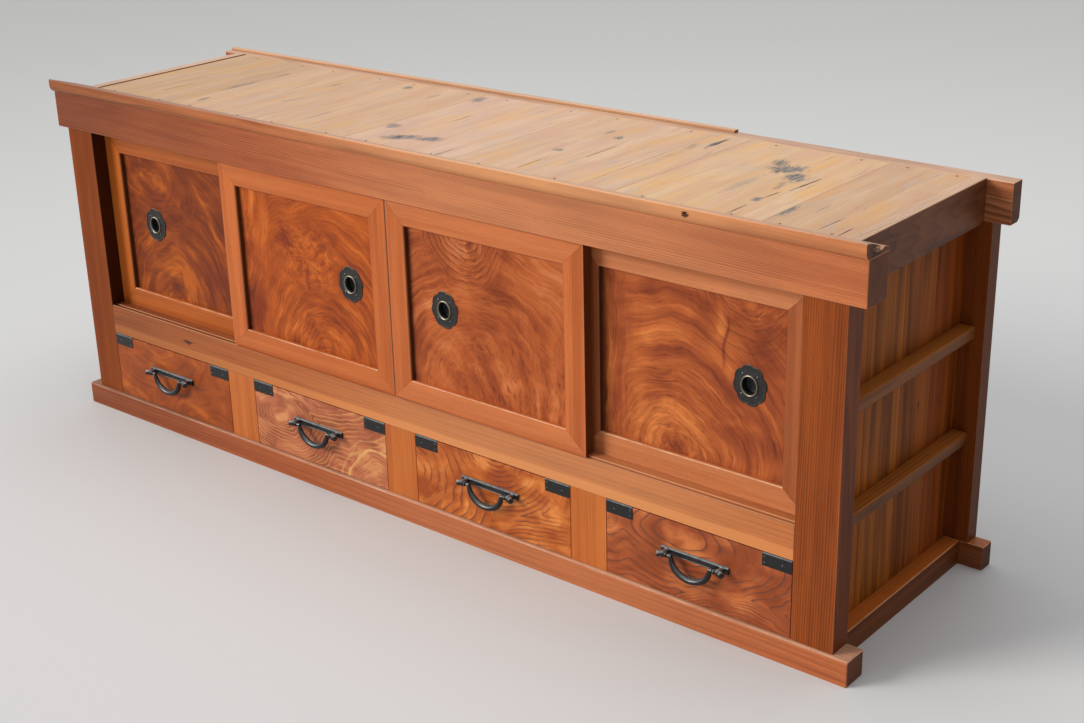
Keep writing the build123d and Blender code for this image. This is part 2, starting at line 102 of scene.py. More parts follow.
def edit(piece, kind="VERT"):
    """Opens a piece in edit mode with all of it selected."""
    take(piece)
    bpy.ops.object.mode_set(mode="EDIT")
    bpy.ops.mesh.select_mode(type=kind)
    bpy.ops.mesh.select_all(action="SELECT")


def pick(piece, kind, wanted):
    """Selects, in edit mode, only the verts or faces whose middle passes the test."""
    bpy.ops.mesh.select_all(action="DESELECT")
    shape = bmesh.from_edit_mesh(piece.data)
    for part in getattr(shape, kind):
        if wanted(part.co if kind == "verts" else part.calc_center_median()):
            part.select_set(True)
    shape.select_flush(True)
    bmesh.update_edit_mesh(piece.data)


def settle(piece):
    """Places the object's own origin at the frame's, with its place in its mesh."""
    take(piece)
    bpy.ops.object.transform_apply(location=True, rotation=True, scale=True)
    return piece


def block(name, low, high):
    """A squared block between two corners."""
    rest()
    low, high = Vector(low), Vector(high)
    bpy.ops.mesh.primitive_cube_add(size=1, location=(low + high) / 2)
    piece = bpy.context.object
    piece.name = name
    piece.scale = high - low
    return settle(piece)


def ease(piece, width, segments=2, angle=25):
    """Rounds every arris by a width in millimetres, and keeps the broad faces flat to the light."""
    take(piece)
    rounding = piece.modifiers.new("arris", "BEVEL")
    rounding.width = width * mm
    rounding.segments = segments
    rounding.limit_method = "ANGLE"
    rounding.angle_limit = math.radians(angle)
    bpy.ops.object.modifier_apply(modifier=rounding.name)
    bpy.ops.object.shade_smooth_by_angle(angle=math.radians(50))
    flat = piece.modifiers.new("flat", "WEIGHTED_NORMAL")
    flat.keep_sharp = True
    bpy.ops.object.modifier_apply(modifier=flat.name)


def in_scene(name, data):
    """A new object in the scene: a mesh, a lamp or a camera."""
    piece = bpy.data.objects.new(name, data)
    bpy.context.scene.collection.objects.link(piece)
    return piece


def merged(node):
    """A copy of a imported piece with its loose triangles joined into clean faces."""
    piece = in_scene(f"{node}_wood", frame["nodes"][node].data.copy())
    piece.data.materials.clear()
    take(piece)
    if piece.data.has_custom_normals:
        bpy.ops.mesh.customdata_custom_splitnormals_clear()
    edit(piece)
    bpy.ops.mesh.remove_doubles(threshold=0.02 * mm)
    bpy.ops.mesh.dissolve_limited(angle_limit=math.radians(1.5))
    rest()
    return piece


def drawn(name, foot, along, radius, steps, sides=24, tall=1):
    """A round drawn out from its foot: each step goes forward some millimetres to a new radius."""
    rest()
    along = Vector(along).normalized()
    place = Vector(foot)
    bpy.ops.mesh.primitive_circle_add(vertices=sides, radius=radius * mm, fill_type="NGON", location=place,
            rotation=along.to_track_quat("Z", "Y").to_euler())
    piece = bpy.context.object
    piece.name = name
    settle(piece)
    edit(piece, "FACE")
    for forward, wide in steps:
        place = place + along * forward * mm
        bpy.ops.mesh.extrude_region_move(TRANSFORM_OT_translate={"value": along * forward * mm})
        bpy.ops.transform.resize(value=(wide / radius,) * 3, center_override=place)
        radius = wide
    bpy.ops.mesh.select_mode(type="EDGE")
    bpy.ops.mesh.select_all(action="DESELECT")
    bpy.ops.mesh.select_non_manifold()
    bpy.ops.mesh.edge_face_add()
    bpy.ops.mesh.select_all(action="SELECT")
    bpy.ops.mesh.normals_make_consistent(inside=False)
    bpy.ops.transform.resize(value=(1, 1, tall), center_override=foot)
    rest()
    take(piece)
    bpy.ops.object.shade_smooth_by_angle(angle=math.radians(40))
    return piece


def joined(name, *pieces):
    take(pieces[0])
    for piece in pieces:
        piece.select_set(True)
    bpy.ops.object.join()
    pieces[0].name = name
    return pieces[0]


def copied(piece, name, shift):
    """The same piece again with its own mesh, moved along."""
    other = in_scene(name, piece.data.copy())
    other.location = shift
    return settle(other)


def coat(piece, finish):
    piece.data.materials.clear()
    piece.data.materials.append(finish)


def wear(piece, body, finish, slot, *nodes):
    """Gives a piece its finish and body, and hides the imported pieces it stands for."""
    coat(piece, finish)
    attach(piece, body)
    if nodes:
        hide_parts(*nodes)


# Materials. Each kind of node: its type, its settings, the sockets its values go to, and the one it gives
MATH, VECTOR = "ShaderNodeMath", "ShaderNodeVectorMath"
PLUS, MINUS, TIMES, OVER, TIMES_PLUS, LEAST, MOST, MELTED, PART = (
    (MATH, {"operation": kind}, (0, 1, 2), 0)
    for kind in ("ADD", "SUBTRACT", "MULTIPLY", "DIVIDE", "MULTIPLY_ADD", "MINIMUM", "MAXIMUM", "SMOOTH_MIN",
        "FRACT"))
SHIFT, FROM, STRETCH, STRETCH_SHIFT, SIZE, UNIT = (
    (VECTOR, {"operation": kind}, (0, 1, 2), 0)
    for kind in ("ADD", "SUBTRACT", "MULTIPLY", "MULTIPLY_ADD", "ABSOLUTE", "NORMALIZE"))
LENGTH, DOT = ((VECTOR, {"operation": kind}, (0, 1), "Value") for kind in ("LENGTH", "DOT_PRODUCT"))
PLACE, FACING = (("ShaderNodeTexCoord", {}, (), given) for given in ("Object", "Normal"))
TURN = ("ShaderNodeMapping", {}, ("Vector", "Location", "Rotation", "Scale"), 0)
LAID = ("ShaderNodeMapping", {"vector_type": "TEXTURE"}, ("Vector", "Location", "Rotation", "Scale"), 0)
NOISE, STIR = (("ShaderNodeTexNoise", {}, ("Vector", "Scale", "Detail", "Roughness", "Distortion"), given)
        for given in ("Fac", "Color"))
FADE = ("ShaderNodeMapRange", {"interpolation_type": "SMOOTHSTEP"}, (0, 1, 2, 3, 4), 0)
LAY, DARKEN = (("ShaderNodeMix", {"data_type": "RGBA", "blend_type": blend}, (0, 6, 7), 2)
        for blend in ("MIX", "MULTIPLY"))
SHADES = ("ShaderNodeValToRGB", {}, (0,), 0)
SPLIT = ("ShaderNodeSeparateXYZ", {}, (0,), None)
BRING = ("ShaderNodeCombineXYZ", {}, (0, 1, 2), 0)
RELIEF = ("ShaderNodeBump", {}, ("Height", "Distance", "Strength"), 0)
SURFACE = ("ShaderNodeBsdfPrincipled", {},
           ("Base Color", "Roughness", "Specular IOR Level", "Metallic", "Normal"), 0)
OUTPUT = ("ShaderNodeOutputMaterial", {}, (0,), None)


def linear(colour):
    """An sRGB hex colour as linear red, green, blue and alpha."""
    parts = [int(colour[i:i + 2], 16) / 255 for i in (1, 3, 5)]
    return tuple(c / 12.92 if c <= 0.04045 else ((c + 0.055) / 1.055) ** 2.4 for c in parts) + (1,)


def adding_to(owner):
    """Clears the tree of a material or a world, and gives the function that adds nodes to it."""
    owner.use_nodes = True
    tree = owner.node_tree
    tree.nodes.clear()

    def add(what, *values, stops=()):
        """Adds a node with its settings, values and links, and gives back what it gives."""
        kind, settings, sockets, given = what
        node = tree.nodes.new(kind)
        node.location = (180 * len(tree.nodes), 0)
        for key, value in settings.items():
            setattr(node, key, value)
        if stops:
            ramp = node.color_ramp
            while len(ramp.elements) < len(stops):
                ramp.elements.new(0.5)
            for element, (place, value) in zip(ramp.elements, stops):
                element.position = place
                element.color = linear(value) if isinstance(value, str) else (value, value, value, 1)
        for key, value in zip(sockets, values):
            if isinstance(value, bpy.types.NodeSocket):
                tree.links.new(value, node.inputs[key])
            else:
                node.inputs[key].default_value = linear(value) if isinstance(value, str) else value
        return node.outputs if given is None else node.outputs[given]

    return add


def new_material(name):
    material = bpy.data.materials.new(name)
    return material, adding_to(material)


def spread(add, place, sizes, *values, what=NOISE):
    """A noise drawn out to its own millimetres each way. Its detail, roughness and stir follow."""
    return add(what, add(STRETCH, place, tuple(1 / size for size in sizes)), 1, *values)


def bent_by(add, place, seeded, sizes, detail, reach):
    """Places pushed aside by a slow noise, up to half the reach each way."""
    stir = add(FROM, spread(add, seeded, sizes, detail, what=STIR), (0.5,) * 3)
    return add(STRETCH_SHIFT, stir, reach, place)


def fine_line(add, away, half, inside, outside, share):
    """The share of a fine line: away is the distance from its middle, half its half width."""
    off = add(TIMES, away, 1 / half)
    return add(FADE, add(TIMES, off, off), inside, outside, share, 0)


def surfaced(add, body, gloss, height, depth, sheen, metal=0):
    """The finished surface, with a relief some millimetres deep."""
    relief = add(RELIEF, height, depth * mm, 1)
    add(OUTPUT, add(SURFACE, body, gloss, sheen, metal, relief))


# Where the rear door track lies open, by the square of the distance from the middle in metres
OPEN_TRACK = (0.168, 0.178)
# How the grain of a timber is turned to run along x, and the axis its end grain faces
ALONG = {"x": (0, 0, 0), "y": (0, 0, -math.pi / 2), "z": (0, math.pi / 2, 0)}
AXIS = {"x": (1, 0, 0), "y": (0, 1, 0), "z": (0, 0, 1)}


def to_arris(add, low, high):
    """Millimetres from a face of a squared piece to its nearest arris."""
    middle = (Vector(low) + Vector(high)) / 2
    half = (Vector(high) - Vector(low)) / 2 / mm
    from_middle = add(FROM, add(PLACE), middle)
    size = add(SIZE, add(STRETCH, from_middle, IN_MM))
    x, y, z = add(SPLIT, add(FROM, half, size))
    least, most = add(LEAST, x, y), add(MOST, x, y)
    return add(MOST, least, add(LEAST, most, z))


def placed(add, place, x, z, turn, wide, tall):
    """Places measured from a spot on a front, turned and counted in its own widths and heights."""
    return add(LAID, add(STRETCH, place, (1, 0, 1)), (x, 0, z), (0, turn, 0), (wide, 1, tall))


def stained(add, grain, body, stains, halo, dark):
    """Weather stains about knots: a grey halo, ragged along the grain, and darker fibres in it."""
    place = add(STRETCH, add(PLACE), IN_MM)
    ragged = spread(add, grain, (17, 3.4, 3.4), 4, 0.72, 0.6)
    marks = 0
    for spot, reach, turn, strength in stains:
        away = add(LAID, place, spot, (0, 0, turn), reach)
        far = add(TIMES_PLUS, ragged, 2.6, add(LENGTH, away))
        marks = add(MOST, marks, add(FADE, far, 1.75, 2.15, strength, 0))
    streaks = spread(add, grain, (30, 1.6, 1.6), 3, 0.7)
    body = add(LAY, add(TIMES, marks, 0.75), body, halo)
    return add(LAY, add(TIMES, marks, add(FADE, streaks, 0.46, 0.62)), body, dark)


def painted_light_falloff(add, body, dark, painted_sheen):
    """Painted light falloff: darker towards the left end as painted shade, and a pale painted sheen from the
    middle to the right standing in for a window's reflection.
    """
    run = add(SPLIT, add(PLACE))[0]
    body = add(DARKEN, add(FADE, run, -0.9, 0, dark, 0), body, "#c0b6ac")
    painted_sheen_mask = add(TIMES, add(FADE, run, -0.35, 0.2, 0, painted_sheen), add(FADE, run, 0.45, 0.9, 1, 0.25))
    return add(LAY, painted_sheen_mask, body, "#f6c894")


def timber(name, along, heart, pale, deep, line, ring=4.6, wander=9, shift=0, lines=0.5, box=None,
           arris_wear_and_painted_light="#dba077", top=None, rough=0.42, stripes=0.8, soft=0.6, band=None, sheen=0.22, stains=(),
           tilt=(0, 0), painted_falloff=None, flanks=(), joint=None, lips=()):
    """Sawn and planed timber: growth rings about a heart outside the piece, so that each face and end shows
    its own cut, with fine pores, broad stripes, rubbed arrises that carry a painted highlight, and darker end
    grain deepened as painted shade; it may also take painted shade on its side faces and a painted falloff of
    the light along its length."""
    material, add = new_material(name)
    x, y, z = add(SPLIT, add(PLACE))
    sideways, _, upward = add(SPLIT, add(FACING))
    grain = add(TURN, add(PLACE), (shift, -heart[0], -heart[1]), ALONG[along], IN_MM)
    sway = spread(add, grain, (620, 110, 110), 2, what=STIR)
    bent = add(STRETCH_SHIFT, sway, (0, wander, wander), grain)
    run = add(SPLIT, grain)[0]
    bent = add(SHIFT, bent, add(BRING, 0, add(TIMES, run, tilt[0]), add(TIMES, run, tilt[1])))
    reach = add(LENGTH, add(STRETCH, bent, (0, 1, 1)))
    uneven = spread(add, bent, (900, 26, 26), 2)
    turns = add(TIMES_PLUS, uneven, 2.6, add(OVER, reach, ring))
    late = add(SHADES, add(PART, turns), stops=((0, 0.1), (0.12, 1), (0.36, 0.5), (0.95, 0)))
    patchy = spread(add, grain, (190, 34, 34), 2)
    ringed = add(TIMES, late, add(FADE, patchy, 0.34, 0.62, 0.35, 1))
    fibre = spread(add, bent, (80, 1.7, 1.7), 3, 0.6)
    pores = add(FADE, spread(add, bent, (12, 0.9, 0.9), 1), 0.6, 0.74)
    broad = spread(add, bent, (1100, 21, 21), 3, 0.6)
    cloud = spread(add, grain, (230, 70, 70), 3, 0.55)
    tone = add(TIMES_PLUS, add(FADE, broad, 0.36, 0.66), stripes, add(TIMES_PLUS, cloud, soft, -soft / 2))
    body = add(LAY, tone, pale, deep)
    if top:
        bare = add(TIMES, add(FADE, upward, 0.5, 0.85), add(FADE, cloud, 0.3, 0.6, 0.72, 1))
        body = add(LAY, bare, body, top)
    body = add(LAY, add(TIMES, ringed, lines), body, line)
    body = add(LAY, add(TIMES, pores, 0.28), body, line)
    body = add(DARKEN, 1, body, add(SHADES, fibre, stops=((0.3, 0.84), (0.7, 1))))
    if band:
        low, high, tint = band
        sway_low = spread(add, grain, (420, 25, 25), 2)
        edge = add(TIMES_PLUS, sway_low, 16 * mm, add(MINUS, z, 8 * mm))
        held = add(TIMES, add(FADE, edge, low - 3 * mm, low), add(FADE, edge, high, high + 5 * mm, 1, 0))
        body = add(LAY, add(TIMES, held, 0.65), body, tint)
    # painted light: darker to the left as painted shade, paler to the right as a painted sheen
    if painted_falloff:
        body = painted_light_falloff(add, body, *painted_falloff)
    if stains:
        body = stained(add, grain, body, stains, "#6a3a20", "#1e0f08")
    # painted shade laid over the faces turned to either side
    for tint, share, way in flanks:
        body = add(LAY, add(FADE, add(TIMES, sideways, way), 0.5, 0.85, 0, share), body, tint)
    if joint is not None:
        body = add(LAY, fine_line(add, add(MINUS, x, joint), mm, 1, 4, 0.85), body, "#2c1409")
    # end grain: darker, and darkened further as painted shade on the ends
    facing = add(DOT, add(FACING), AXIS[along])
    cut = add(FADE, add(TIMES, facing, facing), 0.4, 0.9)
    body = add(LAY, add(TIMES, cut, 0.78), body, "#2e1a10")
    if box:
        # arrises: rubbed wear, strongest on the upward ones as a painted highlight; on the middle rail the
        # tint is dark, a painted shadow line under the doors
        rag = spread(add, grain, (40, 14, 14), 3, 0.7)
        near = add(TIMES_PLUS, rag, -3.2, to_arris(add, *box))
        rubbed = add(TIMES, add(FADE, near, -1.1, 0.4, 0.8, 0), add(FADE, upward, 0, 0.55, 0.12, 1))
        body = add(LAY, rubbed, body, arris_wear_and_painted_light)
    # pale lines on the track lips' upper arrises where the rear track lies open: partly rubbed wear, partly
    # painted highlight
    for middle, half in lips:
        held = add(TIMES, fine_line(add, add(MINUS, y, middle * mm), half * mm, 0.6, 1.2, 0.75),
                   add(FADE, add(TIMES, x, x), *OPEN_TRACK))
        body = add(LAY, add(TIMES, held, add(FADE, upward, 0.2, 0.6)), body, "#e6b48c")
    height = add(TIMES_PLUS, ringed, -0.5, add(TIMES_PLUS, fibre, 0.6, add(TIMES, pores, -0.6)))
    gloss = add(TIMES_PLUS, fibre, 0.12, add(TIMES_PLUS, cut, 0.2, rough - 0.06))
    surfaced(add, body, gloss, height, 0.14, sheen)
    return material


def weathered(name, middle, shift, tints, stains, cracks):
    """Old cedar boards, planed and never finished: dry and dull, straw and pink along the grain, faint
    growth lines, grey where the weather got in about the knots."""
    material, add = new_material(name)
    grain = add(TURN, add(PLACE), (shift, middle, 0), ALONG["y"], IN_MM)
    stir = spread(add, grain, (240, 60, 60), 2, what=STIR)
    bent = add(STRETCH_SHIFT, stir, (0, 30, 0), grain)
    streak = spread(add, bent, (480, 24, 24), 3, 0.55)
    cloud = spread(add, bent, (150, 60, 60), 3, 0.5)
    fibre = spread(add, bent, (130, 2.6, 2.6), 3, 0.6)
    deep, mid, pale, straw, pink = tints
    tone = add(TIMES_PLUS, streak, 0.5, add(TIMES, cloud, 0.5))
    body = add(SHADES, tone, stops=((0.22, deep), (0.5, mid), (0.76, pale)))
    yellow = spread(add, bent, (170, 44, 44), 3, 0.5, 0.4)
    body = add(LAY, add(FADE, yellow, 0.5, 0.7, 0, 0.55), body, straw)
    body = add(LAY, add(FADE, yellow, 0.48, 0.3, 0, 0.7), body, pink)
    grey = spread(add, grain, (90, 26, 26), 4, 0.62)
    body = add(LAY, add(FADE, grey, 0.52, 0.72, 0, 0.45), body, "#b3a79f")
    turns = add(TIMES_PLUS, streak, 7, add(SPLIT, add(STRETCH, bent, (0, 1 / 13, 0)))[1])
    late = add(SHADES, add(PART, turns), stops=((0, 0), (0.14, 1), (0.4, 0.3), (0.95, 0)))
    lines = add(TIMES, late, add(FADE, cloud, 0.44, 0.62, 0.02, 0.22))
    body = add(LAY, lines, body, "#a26e44")
    body = add(DARKEN, 1, body, add(SHADES, fibre, stops=((0.3, 0.93), (0.66, 1))))
    for marks, halo, dark in ((stains, "#74787a", "#34373a"), (cracks, "#5a3b24", "#2e1a0f")):
        spots = [((x, y, 650), (wide, long, 40), turn, share) for x, y, wide, long, turn, share in marks]
        body = stained(add, grain, body, spots, halo, dark)
    splits = spread(add, bent, (90, 1.5, 1.5), 1)
    splits = add(TIMES, add(FADE, splits, 0.7, 0.76), add(FADE, grey, 0.5, 0.62))
    body = add(LAY, add(TIMES, splits, 0.8), body, "#4a3020")
    side = add(FADE, add(SPLIT, add(FACING))[2], 0.3, 0.8, 0.4, 0)
    body = add(LAY, side, body, "#8a5c38")
    height = add(TIMES_PLUS, late, -0.4, fibre)
    surfaced(add, body, 0.62, height, 0.2, 0.2)
    return material


def on_front(add, middle, seed):
    """Millimetres from the middle of a front, and the same moved on to give each front its own figure."""
    flat = add(TURN, add(PLACE), -Vector(middle) * 1000, (0, 0, 0), IN_MM)
    return flat, add(SHIFT, flat, (seed * 370, seed * 110, seed * 230))


def shaded(add, tone, place, patches, shades, cuts):
    """A figure's tone with its placed light and dark patches, turned into its run of colours."""
    for x, z, turn, wide, tall, lift in patches:
        far = add(LENGTH, placed(add, place, x, z, turn, wide, tall))
        tone = add(PLUS, tone, add(FADE, far, 0.25, 1.15, lift, 0))
    return add(SHADES, tone, stops=tuple(zip(cuts, shades)))


def painted_recess_shadow(add, ragged, low, high):
    """Painted shadow in the corner between a panel and its frame, widest beside the left stile, where the
    light from the left is cut off.
    """
    x, y, z = add(SPLIT, add(PLACE))
    from_left = add(TIMES, add(MINUS, x, low[0]), 1000 / 3.2)
    from_right = add(TIMES, add(MINUS, high[0], x), 1000 / 1)
    from_foot = add(TIMES, add(MINUS, z, low[1]), 1000 / 1.2)
    from_head = add(TIMES, add(MINUS, high[1], z), 1000 / 1.8)
    near = add(LEAST, add(LEAST, from_left, from_right), add(LEAST, from_foot, from_head))
    return add(FADE, add(TIMES_PLUS, ragged, -2.4, near), -0.8, 3.4, 0.78, 0)


def burr(name, middle, opening, eyes, shades, seed, lines, patches):
    """Burr zelkova planed and lacquered: fibres sweep about the eyes of the burr, and shine pale or
    dark where they tip towards the light or away from it. An eye: place, turn, width, height, reach
    and the widths of its strands around and across, in millimetres."""
    material, add = new_material(name)
    flat, seeded = on_front(add, middle, seed)
    bent = bent_by(add, flat, seeded, (120, 400, 120), 2, (52, 0, 52))
    bent = bent_by(add, bent, seeded, (26, 400, 26), 3, (10.4, 0, 10.4))
    line = "#4e1d0c"
    tone, fine = None, None
    for x, z, turn, wide, tall, reach, around, across in eyes:
        away = placed(add, bent, x, z, turn, wide, tall)
        far = add(LENGTH, away)
        rings = add(BRING, 0, add(OVER, far, across), 0)
        spun = add(STRETCH_SHIFT, add(UNIT, away), (around,) * 3, rings)
        broad = add(NOISE, add(STRETCH_SHIFT, spun, (0.5, 0.3, 0.5), (seed, x, z)), 1, 2, 0.5)
        sharp = add(NOISE, add(SHIFT, spun, (z, seed, x)), 1, 4, 0.66)
        own = add(TIMES_PLUS, broad, 0.5, add(TIMES, sharp, 0.5))
        thin = add(NOISE, add(STRETCH, spun, (1.7, 4.4, 1.7)), 1, 3, 0.65)
        if tone is None:
            tone, fine = own, thin
            continue
        held = add(FADE, far, reach * 0.55, reach * 1.25, 1, 0)
        tone = add(TIMES_PLUS, held, add(MINUS, own, tone), tone)
        fine = add(TIMES_PLUS, held, add(MINUS, thin, fine), fine)
    cloud = spread(add, seeded, (75, 400, 60), 3, 0.55, 0.5)
    tone = add(TIMES_PLUS, cloud, 0.3, add(TIMES, tone, 0.7))
    body = shaded(add, tone, bent, patches, shades, (0.37, 0.435, 0.49, 0.55, 0.64))
    dull = add(TIMES, add(FADE, fine, 0.45, 0.36), add(FADE, cloud, 0.62, 0.42, 0.15, 0.45))
    body = add(LAY, dull, body, line)
    lit = add(TIMES, add(FADE, fine, 0.57, 0.68), add(FADE, tone, 0.45, 0.56, 0, 0.4))
    body = add(LAY, lit, body, shades[-1])
    rising = spread(add, seeded, (60, 400, 60), 2)
    ringed = 0
    for x, z, turn, wide, tall, reach, spacing, strength in lines:
        far = add(LENGTH, placed(add, bent, x, z, turn, wide, tall))
        phase = add(PART, add(TIMES_PLUS, rising, 1.4, add(OVER, far, spacing)))
        grown = add(SHADES, phase, stops=((0, 0), (0.1, 1), (0.24, 0.35), (0.8, 0)))
        held = add(TIMES, add(FADE, far, reach * 0.7, reach * 1.1, strength, 0),
                   add(FADE, cloud, 0.4, 0.6, 0.5, 1))
        ringed = add(MOST, ringed, add(TIMES, grown, held))
    if lines:
        body = add(LAY, ringed, body, line)
    body = add(DARKEN, 1, body, add(SHADES, fine, stops=((0.38, 0.84), (0.56, 1))))
    # painted shadow along the panel's edges, widest by the left stile
    body = add(LAY, painted_recess_shadow(add, rising, *opening), body, "#34160a")
    surfaced(add, body, add(TIMES_PLUS, fine, 0.12, 0.32), fine, 0.06, 0.2)
    return material


def mapped(name, middle, eyes, shades, line, strength, wander, seed, patches, veins):
    """Zelkova sawn through its figure, planed and lacquered: growth lines run round the eyes like the
    lines of a map, grey brown on orange, soft on one side. An eye: place, turn, width, height, how far
    out its lines start and how far apart they run, in millimetres."""
    material, add = new_material(name)
    flat, seeded = on_front(add, middle, seed)
    bent = bent_by(add, flat, seeded, (85, 400, 60), 2, (wander * 2.4, 0, wander * 2))
    bent = bent_by(add, bent, seeded, (22, 400, 18), 2, (wander * 0.18, 0, wander * 0.18))
    field = None
    for x, z, turn, wide, tall, start, spacing in eyes:
        far = add(LENGTH, placed(add, bent, x, z, turn, wide, tall))
        far = add(OVER, add(MINUS, far, start), spacing)
        field = far if field is None else add(MELTED, field, far, 1.2)
    uneven = spread(add, seeded, (70, 400, 40), 2)
    turns = add(MOST, add(TIMES_PLUS, uneven, 1.1, add(MINUS, field, 0.55)), 0)
    phase = add(PART, turns)
    ringed = add(SHADES, phase, stops=((0, 0), (0.08, 1), (0.15, 0.8), (0.26, 0.3), (0.6, 0)))
    shown = add(FADE, spread(add, seeded, (60, 400, 40), 2), 0.4, 0.54, 0.15, 1)
    ringed = add(TIMES, ringed, shown)
    x, y, z = add(SPLIT, bent)
    follow = add(BRING, x, add(TIMES, turns, 30), z)
    strands = spread(add, follow, (70, 40, 60), 3, 0.6)
    fine = spread(add, follow, (34, 12, 30), 3, 0.65)
    cloud = spread(add, seeded, (80, 400, 50), 3, 0.5, 0.6)
    tone = add(TIMES_PLUS, cloud, 0.7, add(TIMES, strands, 0.3))
    body = shaded(add, tone, flat, patches, shades, (0.4, 0.47, 0.54, 0.62))
    for x, z, radius, breadth, share, tint in veins:
        off = add(MINUS, add(LENGTH, placed(add, bent, x, z, 0, 1, 1)), radius)
        pale = add(FADE, add(TIMES, off, off), 0, breadth * breadth, share, 0)
        body = add(LAY, add(TIMES, pale, add(FADE, fine, 0.3, 0.6, 0.5, 1)), body, tint)
    body = add(LAY, add(TIMES, ringed, strength), body, line)
    body = add(DARKEN, 1, body, add(SHADES, fine, stops=((0.34, 0.88), (0.6, 1))))
    height = add(TIMES_PLUS, ringed, -0.4, fine)
    surfaced(add, body, add(TIMES_PLUS, fine, 0.12, 0.3), height, 0.08, 0.22)
    return material


def iron(name, base="#101315", bare="#8d9498", rust="#2a2019", rough=0.42, rubbed=0.25, metal=0.3, lit=0.6,
         hammer=0.3, painted_highlight_edges=()):
    """Forged iron baked black in oil: nearly black with a cold cast, softly hammered, rubbed grey on the high
    spots and browned in the low ones, with a painted highlight on its upward faces and along given edge
    lines."""
    material, add = new_material(name)
    place = add(STRETCH, add(PLACE), IN_MM)
    hammered = add(NOISE, place, 1 / 7, 2, 0.5)
    mottle = add(NOISE, place, 1 / 2.4, 4, 0.65)
    body = add(LAY, add(FADE, hammered, 0.5, 0.75, 0, 0.6), base, rust)
    body = add(LAY, add(FADE, mottle, 0.56, 0.78, 0, rubbed), body, bare)
    # painted highlight: upward faces laid towards the bare metal colour by the lit share
    painted_top_light = add(FADE, add(SPLIT, add(FACING))[2], 0.15, 0.8, 0, lit)
    body = add(LAY, add(TIMES, painted_top_light, add(FADE, mottle, 0.35, 0.6, 0.4, 1)), body, bare)
    # painted highlight lines along given heights
    for edge in painted_highlight_edges:
        line = fine_line(add, add(MINUS, add(SPLIT, add(PLACE))[2], edge), mm, 0.5, 2.5, 0.5)
        body = add(LAY, add(TIMES, line, add(FADE, hammered, 0.3, 0.6, 0.4, 1)), body, bare)
    height = add(TIMES_PLUS, mottle, 0.25, hammered)
    surfaced(add, body, add(TIMES_PLUS, mottle, 0.2, rough - 0.1), height, hammer, 0.5, metal)
    return material


# Frame timbers: copies of the imported pieces with eased arrises, each cut from its own part of the tree.
# Zelkova, planed and wiped with lacquer: even growth lines and a low sheen, arrises rubbed pale with a
# painted highlight (on the middle rail a painted shadow line), the tops worn bare; some fronts carry a
# painted falloff of the light along their length, and the posts painted shade on their sides. A row: piece,
# grain, heart, width of its arris, and its pale, deep and growth line colours
timbers = (
    ("front_top_beam", "x", (-150, 500), 1.2, ("#cd7544", "#ae582e", "#762c12"),
     dict(ring=3.1, lines=0.8, arris_wear_and_painted_light="#d9a07c", top="#c79a78", tilt=(0.012, 0.02), wander=5, stripes=0.7,
          painted_falloff=(1, 0.14))),
    ("rear_top_beam", "x", (560, 860), 1.5, ("#c07a50", "#9c5a38", "#54260f"),
     dict(ring=5.2, wander=10, top="#d6ae90", lines=0.7, tilt=(0.03, 0.03))),
    ("rear_lip_strip", "x", (260, 600), 0.8, ("#cc9e78", "#b0845e", "#8a5c38"),
     dict(ring=4, top="#d6b496")),
    ("side_top_rails", "y", (500, 610), 1.4, ("#7c482a", "#56301c", "#351a0e"),
     dict(ring=6.5, wander=18, top="#d8b294", arris_wear_and_painted_light="#b98a68", tilt=(0.1, 0.05), lines=0.45, sheen=0.14)),
    ("front_left_post", "z", (-150, -300), 1, ("#96470e", "#783305", "#521f04"),
     dict(lines=0.6, tilt=(0.01, 0.02), sheen=0.12, stripes=0.6,
          flanks=(("#280e04", 0.88, 1), ("#451f0a", 0.6, -1)))),
    ("front_right_post", "z", (-120, 300), 1, ("#a65422", "#854016", "#55200b"),
     dict(ring=4.2, lines=0.8, tilt=(0, 0.01), sheen=0.12,
          flanks=(("#471f06", 0.6, 1), ("#280e04", 0.88, -1)))),
    ("rear_left_post", "z", (300, 300), 1.2, ("#8c4a1e", "#6b3312", "#471f0a"), dict(ring=4.4)),
    ("rear_right_post", "z", (300, -300), 1.2, ("#864319", "#642d0f", "#401b08"),
     dict(ring=4.4, sheen=0.1, flanks=(("#4e2806", 0.6, 1),))),
    ("front_bottom_rail", "x", (-330, -60), 1, ("#bd683a", "#a5522a", "#73331a"),
     dict(ring=5.6, arris_wear_and_painted_light="#dcb096", top="#cf9e80", tilt=(0.01, -0.02), stripes=0.5, soft=0.5,
          painted_falloff=(0.9, 0.07))),
    ("rear_bottom_rail", "x", (330, -60), 1.4, ("#96552f", "#77401f", "#4f2712"),
     dict(ring=5.2, top="#b8682c")),
    ("side_bottom_rails", "y", (300, -90), 1.4, ("#7a4018", "#5c2e10", "#3b1c08"),
     dict(ring=5.2, top="#cc7230", sheen=0.1)),
    ("middle_rail", "x", (-60, 40), 0.8, ("#c3703a", "#ac5e2f", "#8c451f"),
     dict(ring=6, band=(0.171, 0.189, "#d8884a"), arris_wear_and_painted_light="#7a3c1c", tilt=(0.02, 0.012), painted_falloff=(0.9, 0.13),
          lips=((-215.6, 1.5), (-205.9, 1)), stains=(((-559, -217, 204), (18, 30, 6), 0, 1),))),
    ("drawer_dividers", "z", (-100, 900), 0.6, ("#ce7434", "#b86128", "#8f4416"), dict(ring=5)),
)
for node, along, heart, arris, colours, look in timbers:
    piece = merged(node)
    ease(piece, arris)
    finish = timber(f"zelkova_planed_lacquered_{node}", along, heart, *colours, box=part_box(node), **look)
    wear(piece, "case", finish, "frame_timber", node)

